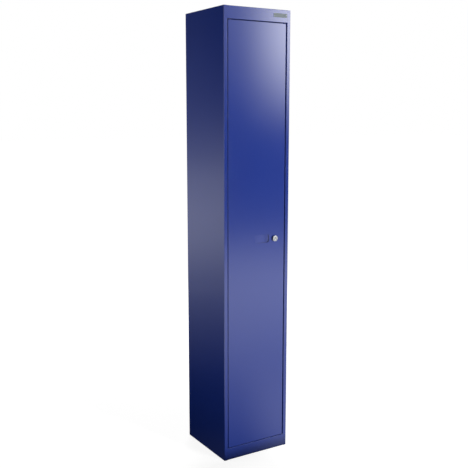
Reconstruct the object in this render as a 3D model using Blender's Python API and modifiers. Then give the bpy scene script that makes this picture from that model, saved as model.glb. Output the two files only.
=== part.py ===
"""Single-door steel locker with a hat shelf, a coat rail and a cam lock."""
import math

import bmesh
import bpy
from mathutils import Vector

MM = 0.001

# Outer size of the cabinet and its sheet
WIDTH = 305.0 * MM
DEPTH = 305.0 * MM
HEIGHT = 1802.0 * MM
SHEET = 1.0 * MM
BEND = 2.0 * MM
SEAM = 0.3 * MM
RUN_CLEAR = 0.25 * MM

# Frame around the door
STILE_WIDTH = 16.0 * MM
FASCIA_HEIGHT = 48.0 * MM
PLINTH_HEIGHT = 50.0 * MM
STOP_LIP = 12.0 * MM
HINGE_LIP = 10.0 * MM
REAR_FLANGE = 15.0 * MM
FOOT_RETURN = 25.0 * MM
TOP_FLANGE = 20.0 * MM

# Door pan
DOOR_DEPTH = 17.0 * MM
DOOR_LIP = 12.0 * MM
GAP_HINGE = 2.5 * MM
GAP_LATCH = 4.5 * MM
GAP_TOP = 3.0 * MM
GAP_BOTTOM = 2.0 * MM
BUFFER_GAP = 3.2 * MM
STIFFENER_FROM_HINGE = 89.0 * MM
STIFFENER_CROWN = 28.0 * MM
STIFFENER_SLOPE = 4.0 * MM
STIFFENER_FLANGE = 12.0 * MM
STIFFENER_DEPTH = 11.0 * MM
STIFFENER_END_GAP = 12.0 * MM

# Finger pull pressed in the door
PULL_FROM_LATCH = 78.5 * MM
PULL_HEIGHT = 36.0 * MM
PULL_LENGTH = 52.0 * MM
PULL_DEPTH = 9.0 * MM
PULL_RIM = 1.6 * MM
PULL_Z = 907.0 * MM

# Cam lock
LOCK_FROM_LATCH = 48.0 * MM
LOCK_Z = 903.0 * MM
LOCK_PROUD = 8.0 * MM
LOCK_HEAD_RADIUS = 11.5 * MM
LOCK_HEAD_CHAMFER = 0.9 * MM
LOCK_BARREL_RADIUS = 9.0 * MM
PLUG_RADIUS = 6.5 * MM
PLUG_RECESS = 0.6 * MM
KEYWAY_WIDTH = 2.4 * MM
KEYWAY_HEIGHT = 8.0 * MM
KEYWAY_DEPTH = 9.0 * MM
SHANK_SIDE = 7.0 * MM
NUT_ACROSS_CORNERS = 27.0 * MM
NUT_THICKNESS = 4.0 * MM
CAM_CLEAR = 0.8 * MM
CAM_THICKNESS = 2.5 * MM
CAM_REACH = 50.0 * MM
CAM_HUB_RADIUS = 9.5 * MM
CAM_TIP_RADIUS = 7.0 * MM
SCREW_HEAD_RADIUS = 5.5 * MM
SCREW_HEAD_HEIGHT = 3.0 * MM
SCREW_RADIUS = 2.0 * MM
SCREW_LENGTH = 7.0 * MM

# Door pivots
PIVOT_INSET = 9.0 * MM
PIVOT_SETBACK = 7.0 * MM
PIN_RADIUS = 2.5 * MM
PIN_HEAD_RADIUS = 4.6 * MM
PIN_HEAD_HEIGHT = 2.0 * MM
PIN_END_GAP = 0.5 * MM
BUSH_WALL = 1.0 * MM
BUSH_FLANGE = 1.0 * MM
BUSH_LENGTH = 10.0 * MM
BUSH_END = 1.2 * MM
PLATE_THICKNESS = 2.0 * MM
PLATE_LENGTH = 34.0 * MM
PLATE_LEG = 26.0 * MM

# Rubber buffers on the stop
BUFFER_RADIUS = 4.0 * MM
BUFFER_STEM_RADIUS = 1.6 * MM
BUFFER_BULB_RADIUS = 2.5 * MM
BUFFER_BULB_LENGTH = 2.4 * MM
BUFFER_INSET = 110.0 * MM

# Hat shelf, coat rail and hook
SHELF_DROP = 300.0 * MM
SHELF_FLANGE = 20.0 * MM
SHELF_SETBACK = 6.0 * MM
RAIL_DROP = 62.0 * MM
RAIL_HEIGHT = 25.0 * MM
RAIL_WIDTH = 12.0 * MM
RAIL_WALL = 1.2 * MM
SOCKET_WALL = 2.6 * MM
SOCKET_BASE = 2.5 * MM
SOCKET_LENGTH = 12.0 * MM
HOOK_LENGTH = 14.0 * MM
HOOK_WALL = 2.4 * MM
HOOK_CLEAR = 0.5 * MM
HOOK_WIRE_RADIUS = 2.6 * MM
HOOK_SPREAD = 30.0 * MM
HOOK_DROP = 62.0 * MM
HOOK_TIP_RISE = 24.0 * MM

ROUND_STEPS = 32
SMALL_STEPS = 24
ARC_STEPS = 12
WIRE_STEPS = 10
BEND_SEGMENTS = 4
CUT_OVERRUN = 5.0 * MM

# Places that several pieces share
FRONT = -DEPTH / 2
BACK = DEPTH / 2
HALF = WIDTH / 2
OPENING_HALF = HALF - STILE_WIDTH
OPENING_TOP = HEIGHT - FASCIA_HEIGHT
INNER_HALF = HALF - SHEET - SEAM
STOP_SETBACK = DOOR_DEPTH + BUFFER_GAP
STOP_BACK = STOP_SETBACK + SHEET
DOOR_LEFT = -OPENING_HALF + GAP_HINGE
DOOR_RIGHT = OPENING_HALF - GAP_LATCH
DOOR_BOTTOM = PLINTH_HEIGHT + GAP_BOTTOM
DOOR_TOP = OPENING_TOP - GAP_TOP
PIVOT_X = DOOR_LEFT + PIVOT_INSET
PIVOT_Y = FRONT + PIVOT_SETBACK
LOCK_X = DOOR_RIGHT - LOCK_FROM_LATCH
CAM_FRONT = STOP_BACK + CAM_CLEAR
CAM_BACK = CAM_FRONT + CAM_THICKNESS
BACK_SHEET_FRONT = BACK - SHEET - SEAM - SHEET
REAR_INSIDE = BACK_SHEET_FRONT - SEAM
SHELF_TOP = HEIGHT - SHELF_DROP
RAIL_Z = SHELF_TOP - RAIL_DROP
RAIL_Y = (FRONT + STOP_BACK + REAR_INSIDE) / 2
FOLD_INSIDE = BEND - SHEET


def srgb(red, green, blue):
    """Return a linear colour for a colour given on the 0 to 255 display scale."""
    channels = []
    for value in (red, green, blue):
        share = value / 255
        channels.append(share / 12.92 if share <= 0.04045 else ((share + 0.055) / 1.055) ** 2.4)
    return (*channels, 1.0)


def make_material(name, colour, roughness, metallic):
    """Make one Principled material."""
    material = bpy.data.materials.new(name)
    material.use_nodes = True
    shader = material.node_tree.nodes["Principled BSDF"]
    shader.inputs["Base Color"].default_value = colour
    shader.inputs["Roughness"].default_value = roughness
    shader.inputs["Metallic"].default_value = metallic
    material.diffuse_color = colour
    return material


def clear_scene():
    """Remove every object that the scene holds."""
    for item in list(bpy.data.objects):
        bpy.data.objects.remove(item, do_unlink=True)


def make_collection(name):
    """Make a collection in the scene."""
    group = bpy.data.collections.new(name)
    bpy.context.scene.collection.children.link(group)
    return group


clear_scene()
PARTS = make_collection("metal_locker")
CUTTERS = make_collection("locker_cutters")
PAINT = make_material("blue_powder_coat", srgb(40, 52, 130), 0.38, 0.0)
CHROME = make_material("lock_chrome", srgb(196, 200, 204), 0.2, 1.0)
ZINC = make_material("zinc_plate", srgb(170, 174, 178), 0.38, 1.0)
NYLON = make_material("black_nylon", srgb(34, 34, 36), 0.55, 0.0)
RUBBER = make_material("grey_rubber", srgb(62, 62, 64), 0.85, 0.0)


def make_empty(name, place, parent=None):
    """Make an empty that marks a joint's axis."""
    empty = bpy.data.objects.new(name, None)
    PARTS.objects.link(empty)
    empty.location = place if parent is None else Vector(place) - Vector(parent.location)
    empty.parent = parent
    return empty


def make_object(name, form, material, group=None, parent=None, place=(0, 0, 0), turn=(0, 0, 0), smooth=False):
    """Turn a bmesh into a named object placed in the world."""
    mesh = bpy.data.meshes.new(name)
    form.to_mesh(mesh)
    form.free()
    if smooth:
        for face in mesh.polygons:
            face.use_smooth = True
    item = bpy.data.objects.new(name, mesh)
    (group or PARTS).objects.link(item)
    if material:
        mesh.materials.append(material)
    origin = Vector((0, 0, 0))
    step = parent
    while step:
        origin += Vector(step.location)
        step = step.parent
    item.parent = parent
    item.location = Vector(place) - origin
    item.rotation_euler = turn
    return item


def as_cutter(item):
    """Hide an object that only cuts or joins."""
    item.hide_render = True
    item.display_type = "WIRE"
    return item


def combine(target, tool, operation):
    """Add a Boolean modifier."""
    modifier = target.modifiers.new(operation.title(), "BOOLEAN")
    modifier.operation = operation
    modifier.solver = "EXACT"
    modifier.object = tool


def add_bend(item, segments=BEND_SEGMENTS):
    """Round the folds of an open sheet."""
    modifier = item.modifiers.new("Bend", "BEVEL")
    modifier.width = BEND
    modifier.segments = segments
    modifier.limit_method = "ANGLE"
    modifier.angle_limit = math.radians(30)


def add_sheet(item, thickness=SHEET):
    """Give an open surface its sheet thickness on the side away from its normals."""
    modifier = item.modifiers.new("Sheet", "SOLIDIFY")
    modifier.thickness = thickness
    modifier.offset = -1
    modifier.use_even_offset = True


def spread(axis, along, pair):
    """Place a flat point and a distance along the axis in space."""
    first, second = pair
    if axis == "X":
        return (along, first, second)
    if axis == "Y":
        return (second, along, first)
    return (first, second, along)


def folded(name, profile, axis, start, end, material, thickness=SHEET, parent=None):
    """Make a folded sheet from an open profile whose metal lies on its left."""
    form = bmesh.new()
    low = [form.verts.new(spread(axis, start, pair)) for pair in profile]
    high = [form.verts.new(spread(axis, end, pair)) for pair in profile]
    for index in range(len(profile) - 1):
        form.faces.new((low[index], low[index + 1], high[index + 1], high[index]))
    item = make_object(name, form, material, parent=parent)
    move_origin(item, parent)
    add_bend(item)
    add_sheet(item, thickness)
    return item


def move_origin(item, parent):
    """Keep an object made in world places where it is when its parent stands elsewhere."""
    if parent is None:
        return
    shift = item.location.copy()
    for vertex in item.data.vertices:
        vertex.co += shift
    item.location = (0, 0, 0)


def prism(name, outline, axis, start, end, material=None, group=None, parent=None):
    """Make a solid from a closed outline that runs counterclockwise seen along the axis from its far end."""
    form = bmesh.new()
    low = [form.verts.new(spread(axis, start, pair)) for pair in outline]
    high = [form.verts.new(spread(axis, end, pair)) for pair in outline]
    form.faces.new(list(reversed(low)))
    form.faces.new(high)
    count = len(outline)
    for index in range(count):
        following = (index + 1) % count
        form.faces.new((low[index], low[following], high[following], high[index]))
    item = make_object(name, form, material, group=group, parent=parent)
    move_origin(item, parent)
    return item


def box_outline(low, high):
    """Return a rectangle as an outline."""
    return [(low[0], low[1]), (high[0], low[1]), (high[0], high[1]), (low[0], high[1])]


def cut_box(name, low, high, parent=None):
    """Make a box-shaped cutter from two opposite corners."""
    outline = box_outline(low[:2], high[:2])
    return as_cutter(prism(name, outline, "Z", low[2], high[2], group=CUTTERS, parent=parent))


def circle_outline(centre, radius, steps):
    """Return a circle as an outline."""
    points = []
    for index in range(steps):
        angle = 2 * math.pi * index / steps
        points.append((centre[0] + radius * math.cos(angle), centre[1] + radius * math.sin(angle)))
    return points


def cut_round(name, axis, centre, radius, start, end, parent=None, steps=SMALL_STEPS):
    """Make a round cutter along an axis."""
    outline = circle_outline(centre, radius, steps)
    return as_cutter(prism(name, outline, axis, start, end, group=CUTTERS, parent=parent))


def turned(name, profile, closed, material, place, along_y=False, parent=None, steps=ROUND_STEPS):
    """Make a turned piece from radius and height pairs that run down its outer side."""
    form = bmesh.new()
    points = [form.verts.new((radius, 0, height)) for radius, height in profile]
    for first, second in zip(points, points[1:]):
        form.edges.new((first, second))
    if closed:
        form.edges.new((points[-1], points[0]))
    turn = (math.pi / 2, 0, 0) if along_y else (0, 0, 0)
    item = make_object(name, form, material, parent=parent, place=place, turn=turn, smooth=True)
    modifier = item.modifiers.new("Turn", "SCREW")
    modifier.axis = "Z"
    modifier.angle = 2 * math.pi
    modifier.steps = steps
    modifier.render_steps = steps
    modifier.use_merge_vertices = True
    modifier.merge_threshold = 0.00001
    modifier.use_smooth_shade = True
    return item


def stadium(centre, height, width, grow):
    """Return an upright oval outline with round ends as (across, up) pairs."""
    radius = width / 2 + grow
    reach = (height - width) / 2
    points = []
    for index in range(ARC_STEPS + 1):
        angle = math.pi * index / ARC_STEPS
        points.append((centre[0] + radius * math.cos(angle), centre[1] + reach + radius * math.sin(angle)))
    for index in range(ARC_STEPS + 1):
        angle = math.pi + math.pi * index / ARC_STEPS
        points.append((centre[0] + radius * math.cos(angle), centre[1] - reach + radius * math.sin(angle)))
    return points


def open_pan(low, high, open_side, lip):
    """Make an open pan as a surface with its normals outward and lips around its open side."""
    form = bmesh.new()
    bmesh.ops.create_cube(form, size=1)
    middle = [(a + b) / 2 for a, b in zip(low, high)]
    extent = [b - a for a, b in zip(low, high)]
    for vertex in form.verts:
        for axis in range(3):
            vertex.co[axis] = middle[axis] + vertex.co[axis] * extent[axis]
    form.normal_update()
    lid = [face for face in form.faces if face.normal.dot(Vector(open_side)) > 0.9]
    if lip:
        bmesh.ops.inset_region(form, faces=lid, thickness=lip, use_even_offset=True)
    bmesh.ops.delete(form, geom=lid, context="FACES_ONLY")
    return form


def scoop(name, grow, front, parent):
    """Make the solid of the finger pull, grown by a sheet thickness for the metal around it."""
    radius = PULL_HEIGHT / 2
    right = DOOR_RIGHT - PULL_FROM_LATCH
    centre_x = right - radius
    left = right - PULL_LENGTH
    slope = PULL_DEPTH / PULL_LENGTH
    tilt = math.hypot(1, slope)
    levels = [(front, PULL_RIM), (0.0, PULL_RIM)]
    for share in (0.1, 0.3, 0.6, 1.0):
        inset = PULL_RIM * (1 - math.sqrt(1 - (1 - share) ** 2))
        levels.append((PULL_RIM * share, inset))
    levels.append((PULL_DEPTH * 2, 0.0))
    form = bmesh.new()
    rings = []
    for depth, widen in levels:
        reach = radius - PULL_RIM + widen + grow
        end = left - PULL_RIM - CUT_OVERRUN * 2
        pairs = [(end, PULL_Z - reach)]
        for index in range(ARC_STEPS + 1):
            angle = -math.pi / 2 + math.pi * index / ARC_STEPS
            pairs.append((centre_x + reach * math.cos(angle), PULL_Z + reach * math.sin(angle)))
        pairs.append((end, PULL_Z + reach))
        rings.append([form.verts.new((across, FRONT + depth, up)) for across, up in pairs])
    form.faces.new(rings[0])
    form.faces.new(list(reversed(rings[-1])))
    for near, far in zip(rings, rings[1:]):
        for index in range(len(near)):
            following = (index + 1) % len(near)
            form.faces.new((near[index], far[index], far[following], near[following]))
    floor_point = Vector((left, FRONT + grow * tilt, PULL_Z))
    floor_normal = Vector((-slope, 1, 0)).normalized()
    trim(form, floor_point, floor_normal)
    if grow:
        trim(form, Vector((0, FRONT + SHEET / 2, 0)), Vector((0, -1, 0)))
    item = make_object(name, form, None, group=CUTTERS, parent=parent)
    move_origin(item, parent)
    return as_cutter(item)


def trim(form, point, normal):
    """Cut a solid by a plane, drop what lies beyond it and close the cut."""
    geometry = form.verts[:] + form.edges[:] + form.faces[:]
    cut = bmesh.ops.bisect_plane(form, geom=geometry, plane_co=point, plane_no=normal, clear_outer=True)
    edges = [piece for piece in cut["geom_cut"] if isinstance(piece, bmesh.types.BMEdge)]
    bmesh.ops.contextual_create(form, geom=edges)
    bmesh.ops.recalc_face_normals(form, faces=form.faces)


def wire(name, path, radius, material, group, parent):
    """Make a round wire along a path of (across, up) pairs in the plane across the rail."""
    form = bmesh.new()
    points = [Vector((0, across, up)) for across, up in path]
    rings = []
    for index, point in enumerate(points):
        before = points[max(index - 1, 0)]
        after = points[min(index + 1, len(points) - 1)]
        along = (after - before).normalized()
        side = Vector((1, 0, 0))
        other = along.cross(side)
        ring = []
        for step in range(WIRE_STEPS):
            angle = 2 * math.pi * step / WIRE_STEPS
            offset = side * math.cos(angle) + other * math.sin(angle)
            ring.append(form.verts.new(point + offset * radius))
        rings.append(ring)
    form.faces.new(rings[0])
    form.faces.new(rings[-1])
    for near, far in zip(rings, rings[1:]):
        for index in range(WIRE_STEPS):
            following = (index + 1) % WIRE_STEPS
            form.faces.new((near[index], near[following], far[following], far[index]))
    bmesh.ops.recalc_face_normals(form, faces=form.faces)
    return make_object(name, form, material, group=group, parent=parent, place=parent.location, smooth=True)


def build_side(name, sign, lip_end):
    """Make a side panel with its stile; the sign is -1 on the hinge side and 1 on the lock side."""
    profile = [
        (sign * lip_end, FRONT + (STOP_SETBACK if lip_end < OPENING_HALF else STOP_BACK)),
        (sign * OPENING_HALF, FRONT + (STOP_SETBACK if lip_end < OPENING_HALF else STOP_BACK)),
        (sign * OPENING_HALF, FRONT),
        (sign * HALF, FRONT),
        (sign * HALF, BACK),
        (sign * (HALF - REAR_FLANGE), BACK),
    ]
    if sign < 0:
        profile.reverse()
    panel = folded(name, profile, "Z", 0.0, HEIGHT, PAINT)
    inner = sign * (OPENING_HALF - STOP_LIP - CUT_OVERRUN)
    strip = sign * (OPENING_HALF + BEND)
    outer = sign * (HALF - BEND)
    outline = [
        (inner, FRONT - CUT_OVERRUN),
        (strip, FRONT - CUT_OVERRUN),
        (strip, FRONT + BEND),
        (outer, FRONT + BEND),
        (outer, FRONT + STOP_BACK + CUT_OVERRUN),
        (inner, FRONT + STOP_BACK + CUT_OVERRUN),
    ]
    if sign < 0:
        outline.reverse()
    ends = (
        ("_foot_cut", -CUT_OVERRUN, PLINTH_HEIGHT + SEAM),
        ("_head_cut", OPENING_TOP - SEAM, HEIGHT + CUT_OVERRUN),
    )
    for label, start, end in ends:
        cutter = as_cutter(prism(name + label, outline, "Z", start, end, group=CUTTERS))
        combine(panel, cutter, "DIFFERENCE")
    return panel


def build_carcass():
    """Make the sheets of the cabinet."""
    build_side("left_side_panel", -1, OPENING_HALF + HINGE_LIP)
    right = build_side("right_side_panel", 1, OPENING_HALF - STOP_LIP)
    lip_low = (
        OPENING_HALF - STOP_LIP - CUT_OVERRUN,
        FRONT + STOP_SETBACK - BEND - SHEET,
        OPENING_TOP - STOP_LIP - SEAM,
    )
    lip_high = (OPENING_HALF + BEND + SHEET, FRONT + STOP_BACK + CUT_OVERRUN, OPENING_TOP + CUT_OVERRUN)
    combine(right, cut_box("stop_lip_cut", lip_low, lip_high), "DIFFERENCE")
    for name, height in buffer_places():
        hole = cut_round(
            name + "_hole",
            "Y",
            (height, buffer_x()),
            BUFFER_STEM_RADIUS + SEAM,
            FRONT + STOP_SETBACK - CUT_OVERRUN,
            FRONT + STOP_BACK + CUT_OVERRUN,
        )
        combine(right, hole, "DIFFERENCE")
    top_profile = [
        (REAR_INSIDE, HEIGHT - TOP_FLANGE),
        (REAR_INSIDE, HEIGHT),
        (FRONT, HEIGHT),
        (FRONT, OPENING_TOP),
        (FRONT + STOP_SETBACK, OPENING_TOP),
        (FRONT + STOP_SETBACK, OPENING_TOP - STOP_LIP),
    ]
    top = folded("top_panel", top_profile, "X", -INNER_HALF, INNER_HALF, PAINT)
    base_profile = [
        (REAR_INSIDE - FOOT_RETURN, 0.0),
        (REAR_INSIDE, 0.0),
        (REAR_INSIDE, PLINTH_HEIGHT),
        (FRONT, PLINTH_HEIGHT),
        (FRONT, 0.0),
        (FRONT + FOOT_RETURN, 0.0),
    ]
    base = folded("base_panel", base_profile, "X", -INNER_HALF, INNER_HALF, PAINT)
    outer = HALF + CUT_OVERRUN
    strip = OPENING_HALF + BEND - SEAM
    flange = OPENING_HALF - SEAM
    notch_front = FRONT - CUT_OVERRUN
    notch_back = FRONT + BEND + SEAM
    lip_bottom = OPENING_TOP - STOP_LIP - CUT_OVERRUN
    lip_back = FRONT + STOP_BACK + CUT_OVERRUN
    for side, sign in (("left", -1), ("right", 1)):
        start, end = sorted((sign * strip, sign * outer))
        top_notch = cut_box(
            "top_notch_" + side, (start, notch_front, lip_bottom), (end, notch_back, HEIGHT + CUT_OVERRUN)
        )
        combine(top, top_notch, "DIFFERENCE")
        base_notch = cut_box(
            "base_notch_" + side,
            (start, notch_front, -CUT_OVERRUN),
            (end, notch_back, PLINTH_HEIGHT + CUT_OVERRUN),
        )
        combine(base, base_notch, "DIFFERENCE")
        start, end = sorted((sign * flange, sign * outer))
        flange_notch = cut_box(
            "flange_notch_" + side,
            (start, FRONT + BEND, lip_bottom),
            (end, lip_back, OPENING_TOP + SHEET + BEND),
        )
        combine(top, flange_notch, "DIFFERENCE")
    pin_hole = PIN_RADIUS + SEAM
    centre = (PIVOT_X, PIVOT_Y)
    low_hole = cut_round(
        "lower_pin_hole", "Z", centre, pin_hole, PLINTH_HEIGHT - CUT_OVERRUN, PLINTH_HEIGHT + CUT_OVERRUN
    )
    combine(base, low_hole, "DIFFERENCE")
    high_hole = cut_round(
        "upper_pin_hole", "Z", centre, pin_hole, OPENING_TOP - CUT_OVERRUN, OPENING_TOP + CUT_OVERRUN
    )
    combine(top, high_hole, "DIFFERENCE")
    back_half = HALF - BEND - SEAM
    back_outline = box_outline((-back_half, BACK_SHEET_FRONT), (back_half, BACK_SHEET_FRONT + SHEET))
    prism("back_panel", back_outline, "Z", 0.0, HEIGHT, PAINT)


def buffer_x():
    """Return where the buffers stand across the stop."""
    return OPENING_HALF - GAP_LATCH - BUFFER_RADIUS


def buffer_places():
    """Return the name and the height of each buffer."""
    return (
        ("lower_door_buffer", DOOR_BOTTOM + BUFFER_INSET),
        ("middle_door_buffer", (DOOR_BOTTOM + DOOR_TOP) / 2 + BUFFER_INSET),
        ("upper_door_buffer", DOOR_TOP - BUFFER_INSET),
    )


def build_buffers():
    """Make the rubber buffers that the door closes on."""
    for name, height in buffer_places():
        head = BUFFER_GAP - SEAM
        profile = [
            (0.0, head),
            (BUFFER_RADIUS * 0.7, head),
            (BUFFER_RADIUS, head - BUFFER_RADIUS * 0.25),
            (BUFFER_RADIUS, SEAM),
            (BUFFER_STEM_RADIUS, SEAM),
            (BUFFER_STEM_RADIUS, -SHEET - SEAM),
            (BUFFER_BULB_RADIUS, -SHEET - SEAM),
            (BUFFER_STEM_RADIUS, -SHEET - SEAM - BUFFER_BULB_LENGTH),
            (0.0, -SHEET - SEAM - BUFFER_BULB_LENGTH),
        ]
        place = (buffer_x(), FRONT + STOP_SETBACK, height)
        turned(name, profile, False, RUBBER, place, along_y=True, steps=SMALL_STEPS)


def build_pins():
    """Make the two pivot pins that are fixed in the frame."""
    low_top = DOOR_BOTTOM + BUSH_LENGTH - BUSH_END - PIN_END_GAP
    low_shoulder = PLINTH_HEIGHT - SHEET - SEAM
    lower = [
        (0.0, low_top),
        (PIN_RADIUS * 0.6, low_top),
        (PIN_RADIUS, low_top - PIN_RADIUS * 0.4),
        (PIN_RADIUS, low_shoulder),
        (PIN_HEAD_RADIUS, low_shoulder),
        (PIN_HEAD_RADIUS, low_shoulder - PIN_HEAD_HEIGHT),
        (0.0, low_shoulder - PIN_HEAD_HEIGHT),
    ]
    turned("lower_pivot_pin", lower, False, ZINC, (PIVOT_X, PIVOT_Y, 0), steps=SMALL_STEPS)
    high_bottom = DOOR_TOP - BUSH_LENGTH + BUSH_END + PIN_END_GAP
    high_shoulder = OPENING_TOP + SHEET + SEAM
    upper = [
        (0.0, high_shoulder + PIN_HEAD_HEIGHT),
        (PIN_HEAD_RADIUS, high_shoulder + PIN_HEAD_HEIGHT),
        (PIN_HEAD_RADIUS, high_shoulder),
        (PIN_RADIUS, high_shoulder),
        (PIN_RADIUS, high_bottom + PIN_RADIUS * 0.4),
        (PIN_RADIUS * 0.6, high_bottom),
        (0.0, high_bottom),
    ]
    turned("upper_pivot_pin", upper, False, ZINC, (PIVOT_X, PIVOT_Y, 0), steps=SMALL_STEPS)


def build_door(door):
    """Make the door with what is fixed to it."""
    low = (DOOR_LEFT, FRONT, DOOR_BOTTOM)
    high = (DOOR_RIGHT, FRONT + DOOR_DEPTH, DOOR_TOP)
    skin = make_object("door_skin", open_pan(low, high, (0, 1, 0), DOOR_LIP), PAINT, parent=door)
    move_origin(skin, door)
    add_bend(skin)
    add_sheet(skin)
    combine(skin, scoop("pull_plug", SHEET, -CUT_OVERRUN, door), "UNION")
    combine(skin, scoop("pull_cut", 0.0, -CUT_OVERRUN, door), "DIFFERENCE")
    lock_hole = cut_round(
        "lock_hole",
        "Y",
        (LOCK_Z, LOCK_X),
        LOCK_BARREL_RADIUS + SEAM,
        FRONT - CUT_OVERRUN,
        FRONT + CUT_OVERRUN,
        parent=door,
        steps=ROUND_STEPS,
    )
    combine(skin, lock_hole, "DIFFERENCE")
    bush_outside = PIN_RADIUS + RUN_CLEAR + BUSH_WALL
    plate_front = FRONT + SHEET + SEAM + FOLD_INSIDE * 0.4
    plate_back = FRONT + DOOR_DEPTH - SHEET - SEAM - FOLD_INSIDE
    plate_left = DOOR_LEFT + SHEET + SEAM
    for label, edge, sign in (("lower", DOOR_BOTTOM, 1), ("upper", DOOR_TOP, -1)):
        hole = cut_round(
            label + "_bush_hole",
            "Z",
            (PIVOT_X, PIVOT_Y),
            bush_outside + SEAM,
            edge - CUT_OVERRUN,
            edge + CUT_OVERRUN,
            parent=door,
        )
        combine(skin, hole, "DIFFERENCE")
        inside = edge + sign * (SHEET + SEAM)
        profile = [
            (inside, plate_left + PLATE_LENGTH),
            (inside, plate_left),
            (inside + sign * PLATE_LEG, plate_left),
        ]
        if sign < 0:
            profile.reverse()
        plate = folded(
            label + "_pivot_plate", profile, "Y", plate_front, plate_back, ZINC, PLATE_THICKNESS, parent=door
        )
        plate_hole = cut_round(
            label + "_plate_hole",
            "Z",
            (PIVOT_X, PIVOT_Y),
            bush_outside + SEAM,
            edge - CUT_OVERRUN * 2,
            edge + CUT_OVERRUN * 2,
            parent=door,
        )
        combine(plate, plate_hole, "DIFFERENCE")
    build_bushes(door, bush_outside)
    middle = DOOR_LEFT + STIFFENER_FROM_HINGE
    near = FRONT + SHEET + SEAM
    far = near + STIFFENER_DEPTH
    crown = STIFFENER_CROWN / 2
    foot = crown + STIFFENER_SLOPE
    edge = foot + STIFFENER_FLANGE
    hat = [
        (middle - edge, near),
        (middle - foot, near),
        (middle - crown, far),
        (middle + crown, far),
        (middle + foot, near),
        (middle + edge, near),
    ]
    hat_low = DOOR_BOTTOM + STIFFENER_END_GAP
    hat_high = DOOR_TOP - STIFFENER_END_GAP
    folded("door_stiffener", hat, "Z", hat_low, hat_high, PAINT, parent=door)


def build_bushes(door, outside):
    """Make the nylon bushes, cups with a closed end, that turn with the door on the pins."""
    bore = PIN_RADIUS + RUN_CLEAR
    flange = outside + BUSH_FLANGE
    lower = [
        (0.0, DOOR_BOTTOM + BUSH_LENGTH),
        (outside, DOOR_BOTTOM + BUSH_LENGTH),
        (outside, DOOR_BOTTOM - SEAM),
        (flange, DOOR_BOTTOM - SEAM),
        (flange, PLINTH_HEIGHT + SEAM),
        (bore, PLINTH_HEIGHT + SEAM),
        (bore, DOOR_BOTTOM + BUSH_LENGTH - BUSH_END),
        (0.0, DOOR_BOTTOM + BUSH_LENGTH - BUSH_END),
    ]
    turned("lower_pivot_bush", lower, False, NYLON, (PIVOT_X, PIVOT_Y, 0), parent=door, steps=SMALL_STEPS)
    upper = [
        (0.0, DOOR_TOP - BUSH_LENGTH + BUSH_END),
        (bore, DOOR_TOP - BUSH_LENGTH + BUSH_END),
        (bore, OPENING_TOP - SEAM),
        (flange, OPENING_TOP - SEAM),
        (flange, DOOR_TOP + SEAM),
        (outside, DOOR_TOP + SEAM),
        (outside, DOOR_TOP - BUSH_LENGTH),
        (0.0, DOOR_TOP - BUSH_LENGTH),
    ]
    turned("upper_pivot_bush", upper, False, NYLON, (PIVOT_X, PIVOT_Y, 0), parent=door, steps=SMALL_STEPS)


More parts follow.
